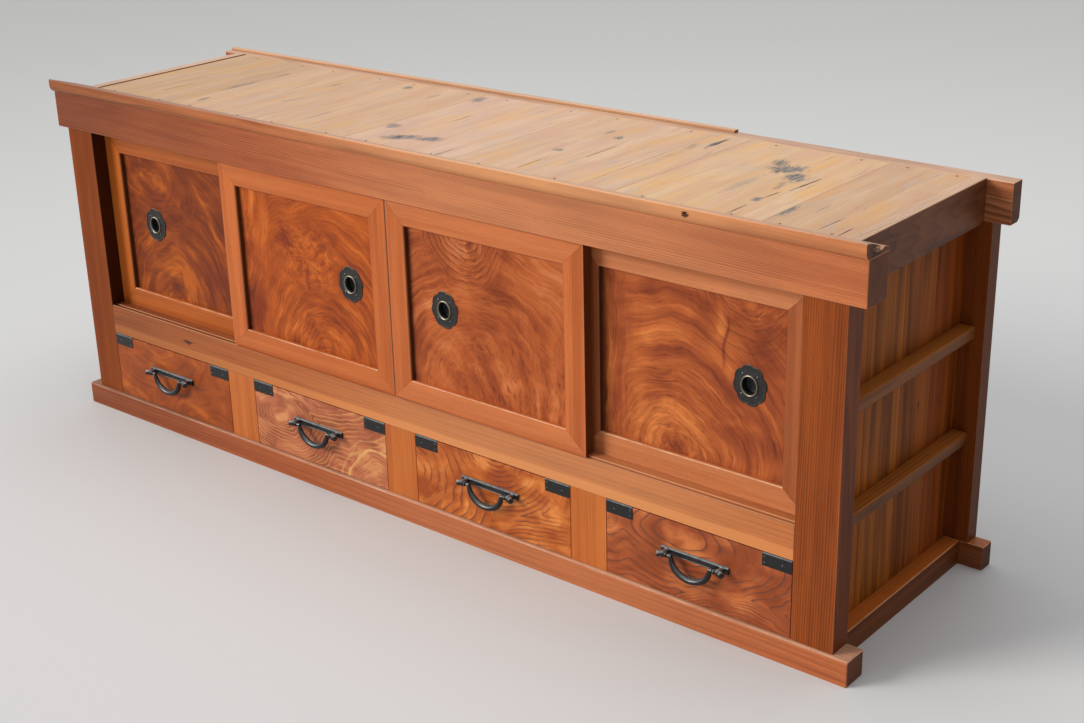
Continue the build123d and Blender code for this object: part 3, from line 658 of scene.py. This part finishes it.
# Crown, with the worn hollow in its right end
crown = merged("crown_moulding")
rest()
bpy.ops.mesh.primitive_uv_sphere_add(segments=32, ring_count=16, radius=1, location=(0.889, -0.194, 0.6765))
hollow = bpy.context.object
hollow.scale = (0.013, 0.024, 0.0205)
settle(hollow)
take(crown)
scoop = crown.modifiers.new("scoop", "BOOLEAN")
scoop.operation = "DIFFERENCE"
scoop.object = hollow
bpy.ops.object.modifier_apply(modifier=scoop.name)
bpy.data.objects.remove(hollow)
ease(crown, 0.8, angle=40)
# the same zelkova, the palest of the front, with painted shade in the worn hollow and one dark knot
finish = timber("zelkova_planed_lacquered_crown", "x", (-400, 640), "#d68650", "#bc6a3b", "#823817", ring=5,
        lines=0.7, top="#cba184", tilt=(0, 0.02), painted_falloff=(1, 0.24),
        stains=(((601, -226, 664), (7, 30, 5), 0, 3), ((886, -201, 667), (24, 22, 26), 0, 2)))
wear(crown, "case", finish, "frame_timber", "crown_moulding")

# Top boards: cedar, planed and never finished, dry and pale, with grey weather stains about the knots.
# Each board's deep, middle and pale tone, its straw and its pink; darker towards the left as a painted
# falloff of the light
straws = (
    ("#ae8a68", "#bf9c7a", "#ceb092", "#c89c68", "#ba967e"),
    ("#b8926e", "#c8a485", "#d6b89a", "#d0a26c", "#c39e86"),
    ("#bd936c", "#cba686", "#d9bb9f", "#d6a970", "#c79e88"),
    ("#c2997a", "#d0ad93", "#dcc0a9", "#d9ac7a", "#cba494"),
    ("#c09674", "#ceaa8c", "#dbbea4", "#daa96c", "#cba28c"),
    ("#bf9674", "#cdaa8c", "#dabda3", "#dbaa6e", "#cba08a"),
    ("#c2966e", "#d0ac88", "#dcbf9f", "#dda967", "#cfa38a"),
    ("#b78d69", "#c6a180", "#d3b495", "#d2a068", "#c1987e"),
)
# each stain: its place and reach across the top in millimetres, how far it is turned, and its strength
board_stains = (
    ((-604, 10, 18, 56, 0, 0.45), (-599, 100, 10, 50, 0.2, 0.4)),
    ((-575, -110, 7, 22, 0.1, 0.8), (-453, 113, 8, 30, 0, 0.35), (-432, -23, 9, 34, -0.2, 0.3)),
    ((-320, 175, 12, 20, 0.3, 0.9), (-230, 150, 9, 34, 0, 0.3)),
    ((-66, -106, 48, 22, 0.6, 0.9), (-18, -88, 34, 20, 0.5, 0.9), (-132, -56, 20, 20, 0.4, 0.8),
     (-141, 176, 16, 26, 0.3, 0.85), (156, 14, 22, 24, 0.3, 0.9), (128, -20, 8, 22, 0.2, 0.5)),
    ((205, 119, 8, 26, 0, 0.5), (205, -20, 13, 13, 0.3, 0.7), (240, 96, 9, 16, 0.2, 0.75)),
    ((394, 160, 8, 50, 0, 0.9), (372, 120, 12, 30, 0.2, 0.35)),
    ((572, 88, 40, 30, 0.6, 1), (606, 56, 26, 32, 0.5, 1), (545, 112, 20, 26, 0.4, 0.8),
     (621, -75, 11, 15, 0.1, 0.9), (560, -20, 14, 70, 0, 0.3), (610, 10, 7, 40, 0.2, 0.5)),
    ((683, -98, 20, 40, 0.1, 0.9), (668, -122, 12, 24, 0, 0.8), (727, -190, 12, 16, 0, 0.4)),
)
# long fine cracks along the grain
board_cracks = (
    ((-700, -60, 1.2, 60, 0, 1.5),),
    ((-500, 60, 1.2, 50, 0.02, 1.2),),
    ((-300, -90, 1, 60, 0, 1.2),),
    ((-70, 60, 1.2, 70, 0.03, 1.2), (60, -150, 1.4, 50, 0, 2)),
    ((270, 10, 1.4, 60, 0.02, 1.6), (220, -110, 1.2, 60, 0, 1.4)),
    ((396, 160, 2.2, 44, 0.02, 3), (470, -60, 1.2, 70, 0, 1.2)),
    ((640, 26, 2, 60, -0.06, 2.6), (628, -40, 1.6, 34, -0.1, 2.4), (625, -133, 1.8, 34, 0, 2.6)),
    ((659, -118, 1.6, 30, 0, 2.4), (771, -120, 1.2, 44, -0.04, 1.2), (806, -136, 1.6, 30, 0, 1.6)),
)
low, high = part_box("top_boards")
# where each joint between two boards starts at the front and ends at the rear, as shares of the width
seams = ((0, 0), (0.136, 0.136), (0.269, 0.270), (0.409, 0.407), (0.561, 0.563), (0.719, 0.717),
         (0.757, 0.760), (0.916, 0.916), (1, 1))
play = 0.2 * mm
width = high.x - low.x
nail_places = []
for i in range(len(straws)):
    (front_start, rear_start), (front_end, rear_end) = seams[i:i + 2]
    first = low.x + width * front_start + (play if i else 0)
    last = low.x + width * front_end - play
    piece = block(f"top_board_{i + 1}", (first, low.y, low.z), (last, high.y, high.z))
    edit(piece)
    pick(piece, "verts", lambda c: c.y > 0 and c.x < (first + last) / 2)
    bpy.ops.transform.translate(value=((rear_start - front_start) * width, 0, 0))
    pick(piece, "verts", lambda c: c.y > 0 and c.x > (first + last) / 2)
    bpy.ops.transform.translate(value=((rear_end - front_end) * width, 0, 0))
    rest()
    ease(piece, 0.3)
    wear(piece, "case", weathered(f"cedar_planed_bare_{i + 1}", (first + last) * 500, i * 733, straws[i],
            board_stains[i], board_cracks[i]), "top_boards")
    for share in (0.2, 0.8):
        x = first + (last - first) * share
        if last - first > 100 * mm:
            nail_places += [(x, low.y + 9 * mm), (x + 6 * mm, high.y - 12 * mm)]
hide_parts("top_boards")

# Side boards: cedar, planed and stained brown, with amber and dark stripes running up them
tones = (("#a85a16", "#6c3308"), ("#ac6017", "#70380a"), ("#a05414", "#683208"), ("#964811", "#602b07"))
inner_front, inner_rear, top = -176.5 * mm, 212 * mm, 592 * mm
for side in ("left", "right"):
    low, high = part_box(f"{side}_side_panel")
    places = [low.y, *[inner_front + (inner_rear - inner_front) * s for s in (0.24, 0.52, 0.77)], high.y]
    for i in range(4):
        housed = 10 * mm if i in (0, 3) else 0
        piece = block(f"{side}_side_board_{i + 1}", (low.x, places[i] + play, low.z),
                      (high.x, places[i + 1] - play, top - housed))
        ease(piece, 0.6)
        start = places[i] * 1000
        knots = tuple(((high.x * 1000, start + y, z), (20, 5, 9), 0, 1)
                      for y, z in ((30, 190 + 40 * i), (62, 420 - 50 * i)))
        finish = timber(f"cedar_planed_stained_{side}_{i + 1}", "z", (560 + 40 * i, -start - 90 + 30 * i),
                *tones[i], "#33170a", ring=14, wander=34, shift=i * 611, lines=0.4, rough=0.5,
                stripes=0.95, soft=0.9, sheen=0.12, stains=knots)
        wear(piece, "case", finish, "side_boards")
    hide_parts(f"{side}_side_panel")
piece = merged("side_battens")
ease(piece, 1.2)
# the same cedar, lighter on the battens' tops where hands and dusters reach
finish = timber("cedar_planed_stained_battens", "y", (300, 300), "#8a5228", "#603617", "#381b0a", ring=6,
        wander=12, top="#b26a2c", sheen=0.12)
wear(piece, "case", finish, "side_boards", "side_battens")

# Doors
STILE, FOOT_RAIL, HEAD_RAIL = 41 * mm, 37 * mm, 41 * mm  # the widths that show about a panel
# pale, deep and growth line colours of each door's stiles, then of its rails
door_looks = (
    # door 1's stiles are made paler as painted light against the shadow of the post beside them
    (("#d6742c", "#b85a20", "#884012"), ("#c86c2c", "#aa541c", "#803c12")),
    (("#d27236", "#b05622", "#8c3e18"), ("#cf733a", "#bb612b", "#96471c")),
    (("#d2743c", "#b15924", "#8d4018"), ("#d27a46", "#bf6838", "#984a24")),
    (("#b8683a", "#9e5228", "#783814"), ("#d68858", "#c0703e", "#924a24")),
)
# an eye's place in the panel, turn, width, height, reach, and its strands around and across
panel_eyes = (
    ((-38, -150, 0, 1, 1.15, 0, 1.5, 10), (-110, 120, 0.5, 1.6, 1, 110, 1.4, 16)),
    ((42, -150, 0, 1, 1.1, 0, 1.8, 9), (0, 30, 0.3, 1.3, 1, 75, 4.5, 9),
     (-160, 40, 0.06, 1, 5, 66, 1.2, 9)),
    ((-15, -160, 0, 1.1, 1.2, 0, 2, 9), (-47, 170, 0, 0.8, 1.1, 125, 1.6, 10),
     (150, -300, 0, 1, 1, 330, 24, 70), (-10, -42, 0, 1, 1, 22, 3, 7)),
    ((-31, -140, 0, 1, 1, 0, 1.5, 9), (-178, 10, 0.03, 1, 6, 66, 1.2, 7),
     (100, 190, 0, 1, 1.2, 110, 2, 12)),
)
# a light or dark patch: its place, turn, half width and height, and how much lighter it makes the figure
# the long dark patches along the left edge of panels 1 and 3 are painted shade beside the left stile
panel_patches = (
    ((84, 26, -0.5, 11, 50, 0.13), (50, 88, -0.65, 5, 44, 0.07), (70, -60, 0, 50, 40, -0.03),
     (-150, 0, 0, 30, 150, -0.03), (-38, -96, 0, 76, 56, 0.13), (-36, -116, 0, 30, 24, -0.16)),
    ((-115, 75, 0.12, 20, 75, 0.12), (-60, 70, 0, 30, 60, -0.03), (50, -95, 0.3, 60, 22, 0.05),
     (0, -5, 0, 45, 35, -0.02), (-135, -100, 0.1, 36, 70, -0.1), (57, -108, 0.2, 60, 26, 0.05)),
    ((-60, 90, 0, 45, 60, 0.04), (60, 70, 0, 60, 40, -0.03), (-150, -40, 0, 25, 100, -0.04),
     (60, -95, -0.3, 40, 18, 0.08), (120, -70, 0.4, 14, 50, 0.05), (-10, -20, 0, 40, 40, -0.03),
     (130, 100, 0, 50, 40, 0.05)),
    ((-95, 0, 0.12, 26, 100, 0.05), (-28, -88, 0, 84, 56, 0.11), (-22, -126, 0, 44, 24, -0.09),
     (48, 92, 0, 12, 34, 0.09), (61, 66, 0.06, 3.5, 46, -0.14), (74, 36, -0.3, 12, 26, 0.06),
     (128, 40, 0, 52, 90, -0.06), (60, -104, 0.6, 44, 14, 0.08), (-10, 110, 0, 60, 20, -0.03)),
)
# growth lines about a place: its turn, width, height, reach, spacing and strength
panel_lines = (
    (),
    ((45, -180, 0, 1, 1.1, 190, 14, 0.4),),
    ((-47, 178, 0, 0.9, 1.1, 125, 9, 0.85),),
    ((100, 190, 0, 1, 1.2, 130, 13, 0.6), (-27, -165, 0, 1, 1, 150, 16, 0.3)),
)
panel_shades = (
    ("#682806", "#742e06", "#823607", "#954409", "#b85c12"),
    ("#84320a", "#97410c", "#aa4d11", "#bc5a18", "#d37329"),
    ("#823715", "#95441b", "#a85122", "#b85f2c", "#ce7745"),
    ("#82391a", "#964620", "#a85326", "#ba612d", "#d67c3c"),
)
meeting = (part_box("door_2_frame")[1].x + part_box("door_3_frame")[0].x) / 2
for i in range(4):
    name = f"door_{i + 1}"
    frame_piece = merged(f"{name}_frame")
    ease(frame_piece, 1)
    low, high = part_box(f"{name}_frame")
    edit(frame_piece)
    bpy.ops.mesh.separate(type="LOOSE")
    rest()
    members = [o for o in bpy.data.objects if o.name.startswith(f"{name}_frame_wood")]
    centre = (low + high) / 2
    for member in members:
        corners = [Vector(c) for c in member.bound_box]
        first = Vector([min(c[k] for c in corners) for k in range(3)])
        last = Vector([max(c[k] for c in corners) for k in range(3)])
        # zelkova, planed and wiped with lacquer: paler than the posts and finer in its lines
        look = dict(ring=3.4, lines=0.36, box=(first, last), arris_wear_and_painted_light="#e8b894")
        if last.z - first.z > last.x - first.x:
            member.name = f"{name}_stile_{'left' if (first.x + last.x) / 2 < centre.x else 'right'}"
            along, heart, colours = "z", (-120 + 20 * i, 260 + 500 * i), door_looks[i][0]
            # painted shade on the stiles' side faces, in the panel recess and at the doors' edges
            look.update(joint=meeting, flanks=(("#240d04", 0.8, 1), ("#240d04", 0.8, -1)))
        else:
            member.name = f"{name}_rail_{'bottom' if (first.z + last.z) / 2 < centre.z else 'top'}"
            along, heart, colours = "x", (-140, -700 + 160 * i), door_looks[i][1]
        wear(member, name, timber(f"zelkova_planed_lacquered_{member.name}", along, heart, *colours,
                shift=i * 400 + 90 * len(member.name), **look), "door_frame")
    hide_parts(f"{name}_frame")
    opening = ((low.x + STILE, low.z + FOOT_RAIL), (high.x - STILE, high.z - HEAD_RAIL))
    low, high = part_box(f"{name}_panel")
    # zelkova burr, planed and lacquered: a deep red brown that glows where the fibres tip to the light, with
    # a painted shadow round its edges
    finish = burr(f"zelkova_burr_lacquered_{name}", (low + high) / 2, opening, panel_eyes[i],
                  panel_shades[i], i + 1, panel_lines[i], panel_patches[i])
    coat(frame["nodes"][f"{name}_panel"], finish)

# Drawer fronts: zelkova sawn through its figure, planed and lacquered, whose growth lines draw maps.
# An eye: its place, turn, width and height, where its lines start and how far apart they run
drawer_eyes = (
    ((-60, 90, 0.3, 1.8, 1, 10, 16), (110, -90, -0.3, 1.4, 1, 20, 15)),
    ((-101, 8, 0, 1.3, 0.85, 12, 6.5), (157, -78, 0, 1, 1, 0, 5.5), (-30, 130, 0.1, 1.8, 1, 30, 8)),
    ((10, 76, 0, 1.3, 1, 14, 8), (170, -330, 0.1, 1.1, 1, 238, 7.5), (-190, 0, 0, 1.4, 1.2, 10, 13)),
    ((-25, 45, 0, 1.75, 0.85, 28, 12), (85, -150, 0, 1.35, 1, 84, 5.5), (-175, 40, 0, 1.1, 1.1, 0, 12)),
)
# patches as on the panels
drawer_patches = (
    ((90, -50, 0.3, 60, 14, 0.08), (-120, 20, 0, 60, 60, -0.03)),
    ((-101, 8, 0, 20, 10, 0.1), (45, -60, 0, 36, 4, 0.14), (-86, 54, 0, 36, 5, 0.12),
     (10, 15, 0, 60, 36, -0.08), (-120, -50, 0, 60, 30, -0.05), (140, 45, 0, 40, 20, -0.04)),
    ((60, -40, 1.3, 9, 110, 0.08), (-110, -30, 0, 40, 30, 0.05), (0, 60, 0, 30, 12, 0.08)),
    ((-25, 48, 0, 44, 16, 0.09), (-120, -20, 0, 50, 40, -0.03), (60, -55, 0, 80, 24, -0.03)),
)
# a vein: the middle of its arc, its radius, breadth, strength and colour
drawer_veins = (
    (),
    ((157, -78, 82, 3.4, 0.85, "#e0b070"), (157, -78, 100, 1.8, 0.4, "#e0b070")),
    ((190, -205, 222, 9, 0.3, "#dc8844"), (60, -330, 345, 6, 0.35, "#dc8844")),
    (),
)
# its shades, dark to pale, the colour and strength of its growth lines, and how far they wander
drawer_looks = (
    (("#8c4012", "#964512", "#a24d14", "#b85e1c"), "#5e240e", 0.4, 15),
    (("#984f34", "#aa5e3f", "#ba6c48", "#d08e5c"), "#e2a864", 0.65, 15),
    (("#a04a1a", "#b25a22", "#c46a2c", "#dc8844"), "#5e3028", 0.82, 9),
    (("#904520", "#a25129", "#b26032", "#cd7742"), "#5c362e", 0.85, 14),
)
for i in range(4):
    name = f"drawer_{i + 1}"
    board = merged(f"{name}_front")
    ease(board, 0.8)
    low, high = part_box(f"{name}_front")
    finish = mapped(f"zelkova_figured_lacquered_{name}", (low + high) / 2, drawer_eyes[i], *drawer_looks[i],
            i + 7, drawer_patches[i], drawer_veins[i])
    wear(board, name, finish, "figured_panel", f"{name}_front")

# Inside: cedar, planed and left plain, so that it stays pale, dry and quiet behind the fronts
inner = timber("cedar_plain_inner_boards", "x", (300, 300), "#b58a5c", "#94683e", "#6f4826", ring=6,
        rough=0.65, sheen=0.2)
boards = [f"drawer_{i}_{part}" for i in range(1, 5) for part in ("box", "bottom")]
for node in ("cabinet_floor", "inner_partitions", "drawer_guides", "bottom_boards", "board_ledgers",
             "back_panel", *boards):
    coat(frame["nodes"][node], inner)

# Finger pulls: a scalloped, slightly domed plate, a bright ring and a dark cup
# iron plate, browned: black with warm brown in its low spots, a worn grey bloom, and a painted highlight on
# its upward faces
browned = iron("iron_pull_plate_browned", "#1c1c1d", "#7c756c", "#3c2e24", 0.45, 0.3, lit=0.7)
# iron ring, rubbed bright by fingers: a warm silver edge about the dark cup, with a painted highlight on its
# upper side
bright = iron("iron_ring_rubbed_bright", "#7d7666", "#c4bba4", "#4c4232", 0.34, 0.4, metal=0.9)
# iron cup, sooted: a dull black hollow
sooted = iron("iron_cup_sooted", "#0c0c0d", "#3a3a38", "#1a1512", 0.5, 0.2, lit=0.2)
# iron nail heads, filed bright: small cold sparks on the black plates, with a painted highlight on their
# upper side
pinned = iron("iron_nail_heads_bright", "#4a4e50", "#c4c8ca", rough=0.3, rubbed=0.6, metal=0.7)
cup_low, cup_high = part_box("door_1_pull")
pull_middle = (cup_low + cup_high) / 2
centre = Vector((pull_middle.x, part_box("door_1_panel")[0].y, pull_middle.z))
radius = (cup_high.x - cup_low.x) / 2 / mm
tall = (cup_high.z - cup_low.z) / (cup_high.x - cup_low.x)
profile = ((0.9, 1), (0.5, 0.985), (0.1, 0.955), (-0.4, 0.93), (-0.1, 0.89), (0.4, 0.72), (0.5, 0.56),
           (0, 0.5))
plate = drawn("door_1_pull_iron", centre, OUTWARD, radius,
              [(step, radius * share) for step, share in profile], sides=64, tall=tall)


def from_scallop(c):
    """How many of the rim's 64 corners a place is from the middle of its lobe, and 4 at a notch."""
    turn = math.atan2((c.z - centre.z) / tall, c.x - centre.x)
    return abs((round(turn / math.pi * 32) + 2) % 8 - 4)


edit(plate)
for corners, draw_in in ((4, 0.925), (3, 0.957), (2, 0.988)):
    pick(plate, "verts", lambda c: from_scallop(c) == corners and (c - centre).length > 0.6 * radius * mm)
    bpy.ops.transform.resize(value=(draw_in, 1, draw_in), center_override=centre)
pick(plate, "faces", lambda c: (c - centre).length < 0.3 * radius * mm)
bpy.ops.mesh.delete(type="FACE")
rest()
head = ((0.3, 0.8), (0.05, 0.2))  # how every small nail head ends
nails = []
for k, turn in enumerate((0.8, 2.3, 3.9, 5.4)):
    foot = centre + Vector((0.019 * math.cos(turn), -0.0016, 0.022 * math.sin(turn)))
    nails.append(drawn(f"pin_{k}", foot, OUTWARD, 1.6, ((0.4, 1.4), *head), sides=10))
pins = joined("door_1_pull_pins", *nails)
hole_tall = 27 / 24  # how much taller than wide the hole is
cup = drawn("door_1_pull_cup", centre + Vector((0, 0.0092, 0)), OUTWARD, 12.6,
            ((0.4, 13), (11, 13.2), (0.3, 13), (0.05, 12.4), (-0.6, 12), (-9.6, 11.2), (-0.8, 9),
             (-0.1, 2)), sides=48, tall=hole_tall)
ring = drawn("door_1_pull_ring", centre + Vector((0, -0.0018, 0)), OUTWARD, 15.2,
             ((1.4, 15), (0.8, 14.6), (0.4, 13.9), (-0.1, 13.2), (-0.6, 12.6), (-1.6, 12.2),
              (-0.3, 12)), sides=48, tall=hole_tall)
edit(ring, "FACE")
pick(ring, "faces", lambda c: math.hypot(c.x - centre.x, c.z - centre.z) < 4 * mm)
bpy.ops.mesh.delete(type="FACE")
rest()
pulls = ((plate, browned), (ring, bright), (pins, pinned), (cup, sooted))
for i in range(1, 5):
    name = f"door_{i}"
    low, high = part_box(f"{name}_pull")
    shift = (low + high) / 2 - pull_middle
    for piece, finish in pulls:
        own = piece if i == 1 else copied(piece, piece.name.replace("door_1", name), shift)
        wear(own, name, finish, "iron", *([f"{name}_pull"] if piece == plate else []))

# Drop handles: a bevelled back plate with two eyes and splayed tips, and a swelling bail between collars
low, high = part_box("drawer_1_handle_plate")
face = high.y
middle = Vector(((low.x + high.x) / 2, face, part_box("drawer_1_bail")[1].z - 4 * mm))
# iron back plate, forged: the blackest iron, with a painted highlight line along its upper bevel and on its
# upward faces
backed = iron("iron_handle_plate_forged", "#0d0e10", rubbed=0.15, metal=0.2, lit=0.4,
              painted_highlight_edges=(middle.z + 5.2 * mm,))
# iron bail, rubbed by hands: smooth, darkly shining, pale where fingers pull, with a painted highlight on its
# upward faces
handled = iron("iron_forged_rubbed_by_hands", "#1f2021", "#a2a6a8", "#201e1c", 0.32, 0.12,
               metal=0.45, lit=0.3, hammer=0.05)
# iron tips, rubbed bright and given a painted highlight on their upward faces: the brightest spots of each
# handle
polished_and_highlit = iron("iron_tips_rubbed_bright", "#2c2c2d", "#ccccc6", "#2a2622", 0.3, 0.35,
                metal=0.6, lit=0.7, hammer=0.08)
plate = block("plate", (low.x, face - 2 * mm, middle.z - 6 * mm), (high.x, face, middle.z + 6 * mm))
edit(plate, "FACE")
pick(plate, "faces", lambda c: c.y < face - 1.9 * mm)
for out, short, narrow in ((1.9, 1, 0.76), (0.1, 0.985, 0.9), (-0.5, 0.985, 0.86), (0.2, 0.985, 0.8)):
    bpy.ops.mesh.extrude_region_move(TRANSFORM_OT_translate={"value": (0, -out * mm, 0)})
    bpy.ops.transform.resize(value=(short, 1, narrow), center_override=middle)
rest()
ease(plate, 0.3)
pivot = Vector((middle.x, face - 15 * mm, middle.z))
to_eye, to_arm = 0.0505, 0.0335  # from the middle of the handle to an eye, and to where an arm starts
eyes, tips, arms = [], [], []
for side in (-1, 1):
    eye = middle + Vector((side * to_eye, 0, 0))
    eyes.append(drawn(f"eye_{side}", eye + Vector((0, -0.003, 0)), OUTWARD, 6.2,
            ((1.6, 6), (0.8, 4.9), (3.6, 4.5), (2.4, 5.4), (3, 5.8), (3.2, 5.2), (1.6, 3.4),
             (0.3, 1))))
    foot = eye + Vector((side * -0.001, -0.0125, 0))
    tips.append(drawn(f"tip_{side}", foot, (side * 0.86, -0.5, -0.05), 3.4,
            ((2, 3.9), (0.8, 4.7), (0.4, 4.7), (0.5, 4.2), (1.2, 4.4), (3.8, 5.1), (2.2, 5.2),
             (0.5, 4.8), (0.1, 4), (0, 1.2))))
handle = joined("drawer_1_handle_plate_iron", plate, *eyes)
tips = joined("drawer_1_handle_tips", *tips)
rest()
ring_radius, drop = 35.5, 30.6
bpy.ops.mesh.primitive_torus_add(major_segments=72, minor_segments=16, major_radius=ring_radius * mm,
        minor_radius=2.9 * mm, location=pivot, rotation=(math.pi / 2, 0, 0))
bail = settle(bpy.context.object)
edit(bail)
bpy.ops.mesh.bisect(plane_co=pivot, plane_no=(0, 0, 1), clear_outer=True, use_fill=True)
bpy.ops.mesh.select_all(action="SELECT")
bpy.ops.transform.resize(value=(1, 1, drop / ring_radius), center_override=pivot)
swells = 14
for k in range(swells):
    pick(bail, "verts", lambda c: pivot.z - c.z > (0.8 + 27 * (k / swells) ** 1.6) * mm)
    bpy.ops.transform.shrink_fatten(value=0.2 * mm)
rest()
for side in (-1, 1):
    arms.append(drawn(f"arm_{side}", pivot + Vector((side * to_arm, 0, 0)), (side, 0, 0), 1.6,
            ((0.8, 3.2), (6.1, 3.3), (0.8, 2.3), (1.4, 2.3), (0.2, 3.9), (0.7, 4.3), (1.4, 4.3),
             (0.6, 3.9), (0.2, 2.1), (1.4, 2)), sides=20))
bail = joined("drawer_1_bail_iron", bail, *arms)
take(bail)
bpy.ops.object.shade_smooth_by_angle(angle=math.radians(40))

# Corner plates: sheet bent over the front's upper corners, nailed
low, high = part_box("drawer_1_corner_plates")
length, flange, face_tall = 51 * mm, 8 * mm, 21 * mm
# iron sheet, baked black in oil: cold black, softly hammered, with a painted highlight along the bend and on
# its upward faces
cornered = iron("iron_corner_plate_forged", painted_highlight_edges=(high.z - 0.6 * mm,))
sheets, tacks = [], []
for side, outer in ((-1, low.x), (1, high.x)):
    inner_end = outer - side * length
    sheet = block(f"sheet_{side}", (min(inner_end, outer), low.y, low.z),
                  (max(inner_end, outer), low.y + mm, high.z))
    edit(sheet, "FACE")
    bpy.ops.mesh.bisect(plane_co=(0, 0, high.z - mm), plane_no=(0, 0, 1))
    pick(sheet, "faces", lambda c: c.y > low.y + 0.9 * mm and c.z > high.z - mm)
    bpy.ops.mesh.extrude_region_move(TRANSFORM_OT_translate={"value": (0, flange, 0)})
    rest()
    ease(sheet, 0.9, segments=3)
    sheets.append(sheet)
    for k, (x, share) in enumerate(((inner_end + side * 4.5 * mm, 0.26), (inner_end + side * 4.5 * mm, 0.74),
            (outer - side * 16 * mm, 0.45))):
        tacks.append(drawn(f"tack_{side}_{k}", (x, low.y + 0.1 * mm, low.z + face_tall * share), OUTWARD, 1.5,
                ((0.35, 1.4), *head), sides=10))
corners = joined("drawer_1_corner_plates_iron", *sheets)
tacks = joined("drawer_1_corner_tacks", *tacks)
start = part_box("drawer_1_front")[0].x
for i in range(1, 5):
    name = f"drawer_{i}"
    shift = Vector((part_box(f"{name}_front")[0].x - start, 0, 0))
    for piece, part, body, finish in (
            (handle, "handle_plate", name, backed), (bail, "bail", f"bail_{i}", handled),
            (corners, "corner_plates", name, cornered), (tips, "", name, polished_and_highlit),
            (tacks, "", name, pinned)):
        own = piece if i == 1 else copied(piece, piece.name.replace("drawer_1", name), shift)
        wear(own, body, finish, "iron", *([f"{name}_{part}"] if part else []))

# Nails in the ends of the top boards
# iron nails, rusted: small rough brown dots, with a painted highlight on their heads
rusted = iron("iron_nail_rusted", "#2c2420", "#5a4a3e", "#4a2e1e", 0.6, 0.2, metal=0.2)
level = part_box("top_boards")[1].z
heads = [drawn(f"nail_{k}", (x, y, level - 0.3 * mm), (0, 0, 1), 2.3, ((0.5, 2.1), (0.2, 1.2), (0.05, 0.3)),
        sides=10) for k, (x, y) in enumerate(nail_places)]
wear(joined("top_board_nails", *heads), "case", rusted, "iron")

# Floor, light and camera
rest()
bpy.ops.mesh.primitive_plane_add(size=60, location=(0, 0, 0))
floor = bpy.context.object
floor.name = "studio_floor"
# paper backdrop, matt: pale and even, so that only the chest's own shadow shows on it
material, add = new_material("floor_pale")
add(OUTPUT, add(SURFACE, "#d4d6d7", 0.85, 0.2))
floor.data.materials.append(material)
floor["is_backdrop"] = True

# pale walls for the eye and in the gloss of the lacquer, dimmer ones for the light they throw
world = bpy.data.worlds.new("studio")
bpy.context.scene.world = world
add = adding_to(world)
GLOW = ("ShaderNodeBackground", {}, ("Color", "Strength"), 0)
path = add(("ShaderNodeLightPath", {}, (), None))
seen = add(MOST, path["Is Camera Ray"], path["Is Transmission Ray"])
seen = add(MOST, seen, path["Is Glossy Ray"])
dim = add(GLOW, "#f4f2ef", 0.4)
pale_wall = add(GLOW, "#e6eaed", 0.85)
both = add(("ShaderNodeMixShader", {}, (0, 1, 2), 0), seen, dim, pale_wall)
add(("ShaderNodeOutputWorld", {}, (0,), None), both)


def lamp(name, kind, place, target, size, power, tint="#ffffff"):
    data = bpy.data.lights.new(name, kind)
    if kind == "AREA":
        data.shape = "RECTANGLE"
        data.size, data.size_y = size
    else:
        data.angle = math.radians(size)
    data.energy = power
    data.color = linear(tint)[:3]
    light = in_scene(name, data)
    light.location = place
    light.rotation_euler = (Vector(target) - Vector(place)).to_track_quat("-Z", "Y").to_euler()


# broad daylight from windows at the left, and a soft ceiling over the top boards
lamp("windows_left", "SUN", (-6.2, -6.9, 3.9), (0, 0, 0), 26, 2.55, "#fffaf4")
lamp("ceiling", "AREA", (-0.2, 0.2, 4.2), (0, 0, 0.5), (4.5, 3.5), 92, "#fdfcff")

# the camera fitted to the photograph: its reach and the picture's width in pixels, where it stands, and
# how far it turns, looks down and leans
reach, picture, sensor = 1684.1, 1084, 36
camera_data = bpy.data.cameras.new("camera")
camera_data.sensor_width = sensor
camera_data.lens = sensor * reach / picture
camera = in_scene("camera", camera_data)
yaw, pitch, roll = 0.698, -0.382, -0.025
camera.matrix_world = (Matrix.Translation((1.8966, -2.0919, 1.3568)) @ Matrix.Rotation(yaw, 4, "Z")
        @ Matrix.Rotation(math.pi / 2 + pitch, 4, "X") @ Matrix.Rotation(roll, 4, "Z"))
bpy.context.scene.camera = camera
bpy.context.scene.view_settings.view_transform = "Standard"

low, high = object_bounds()
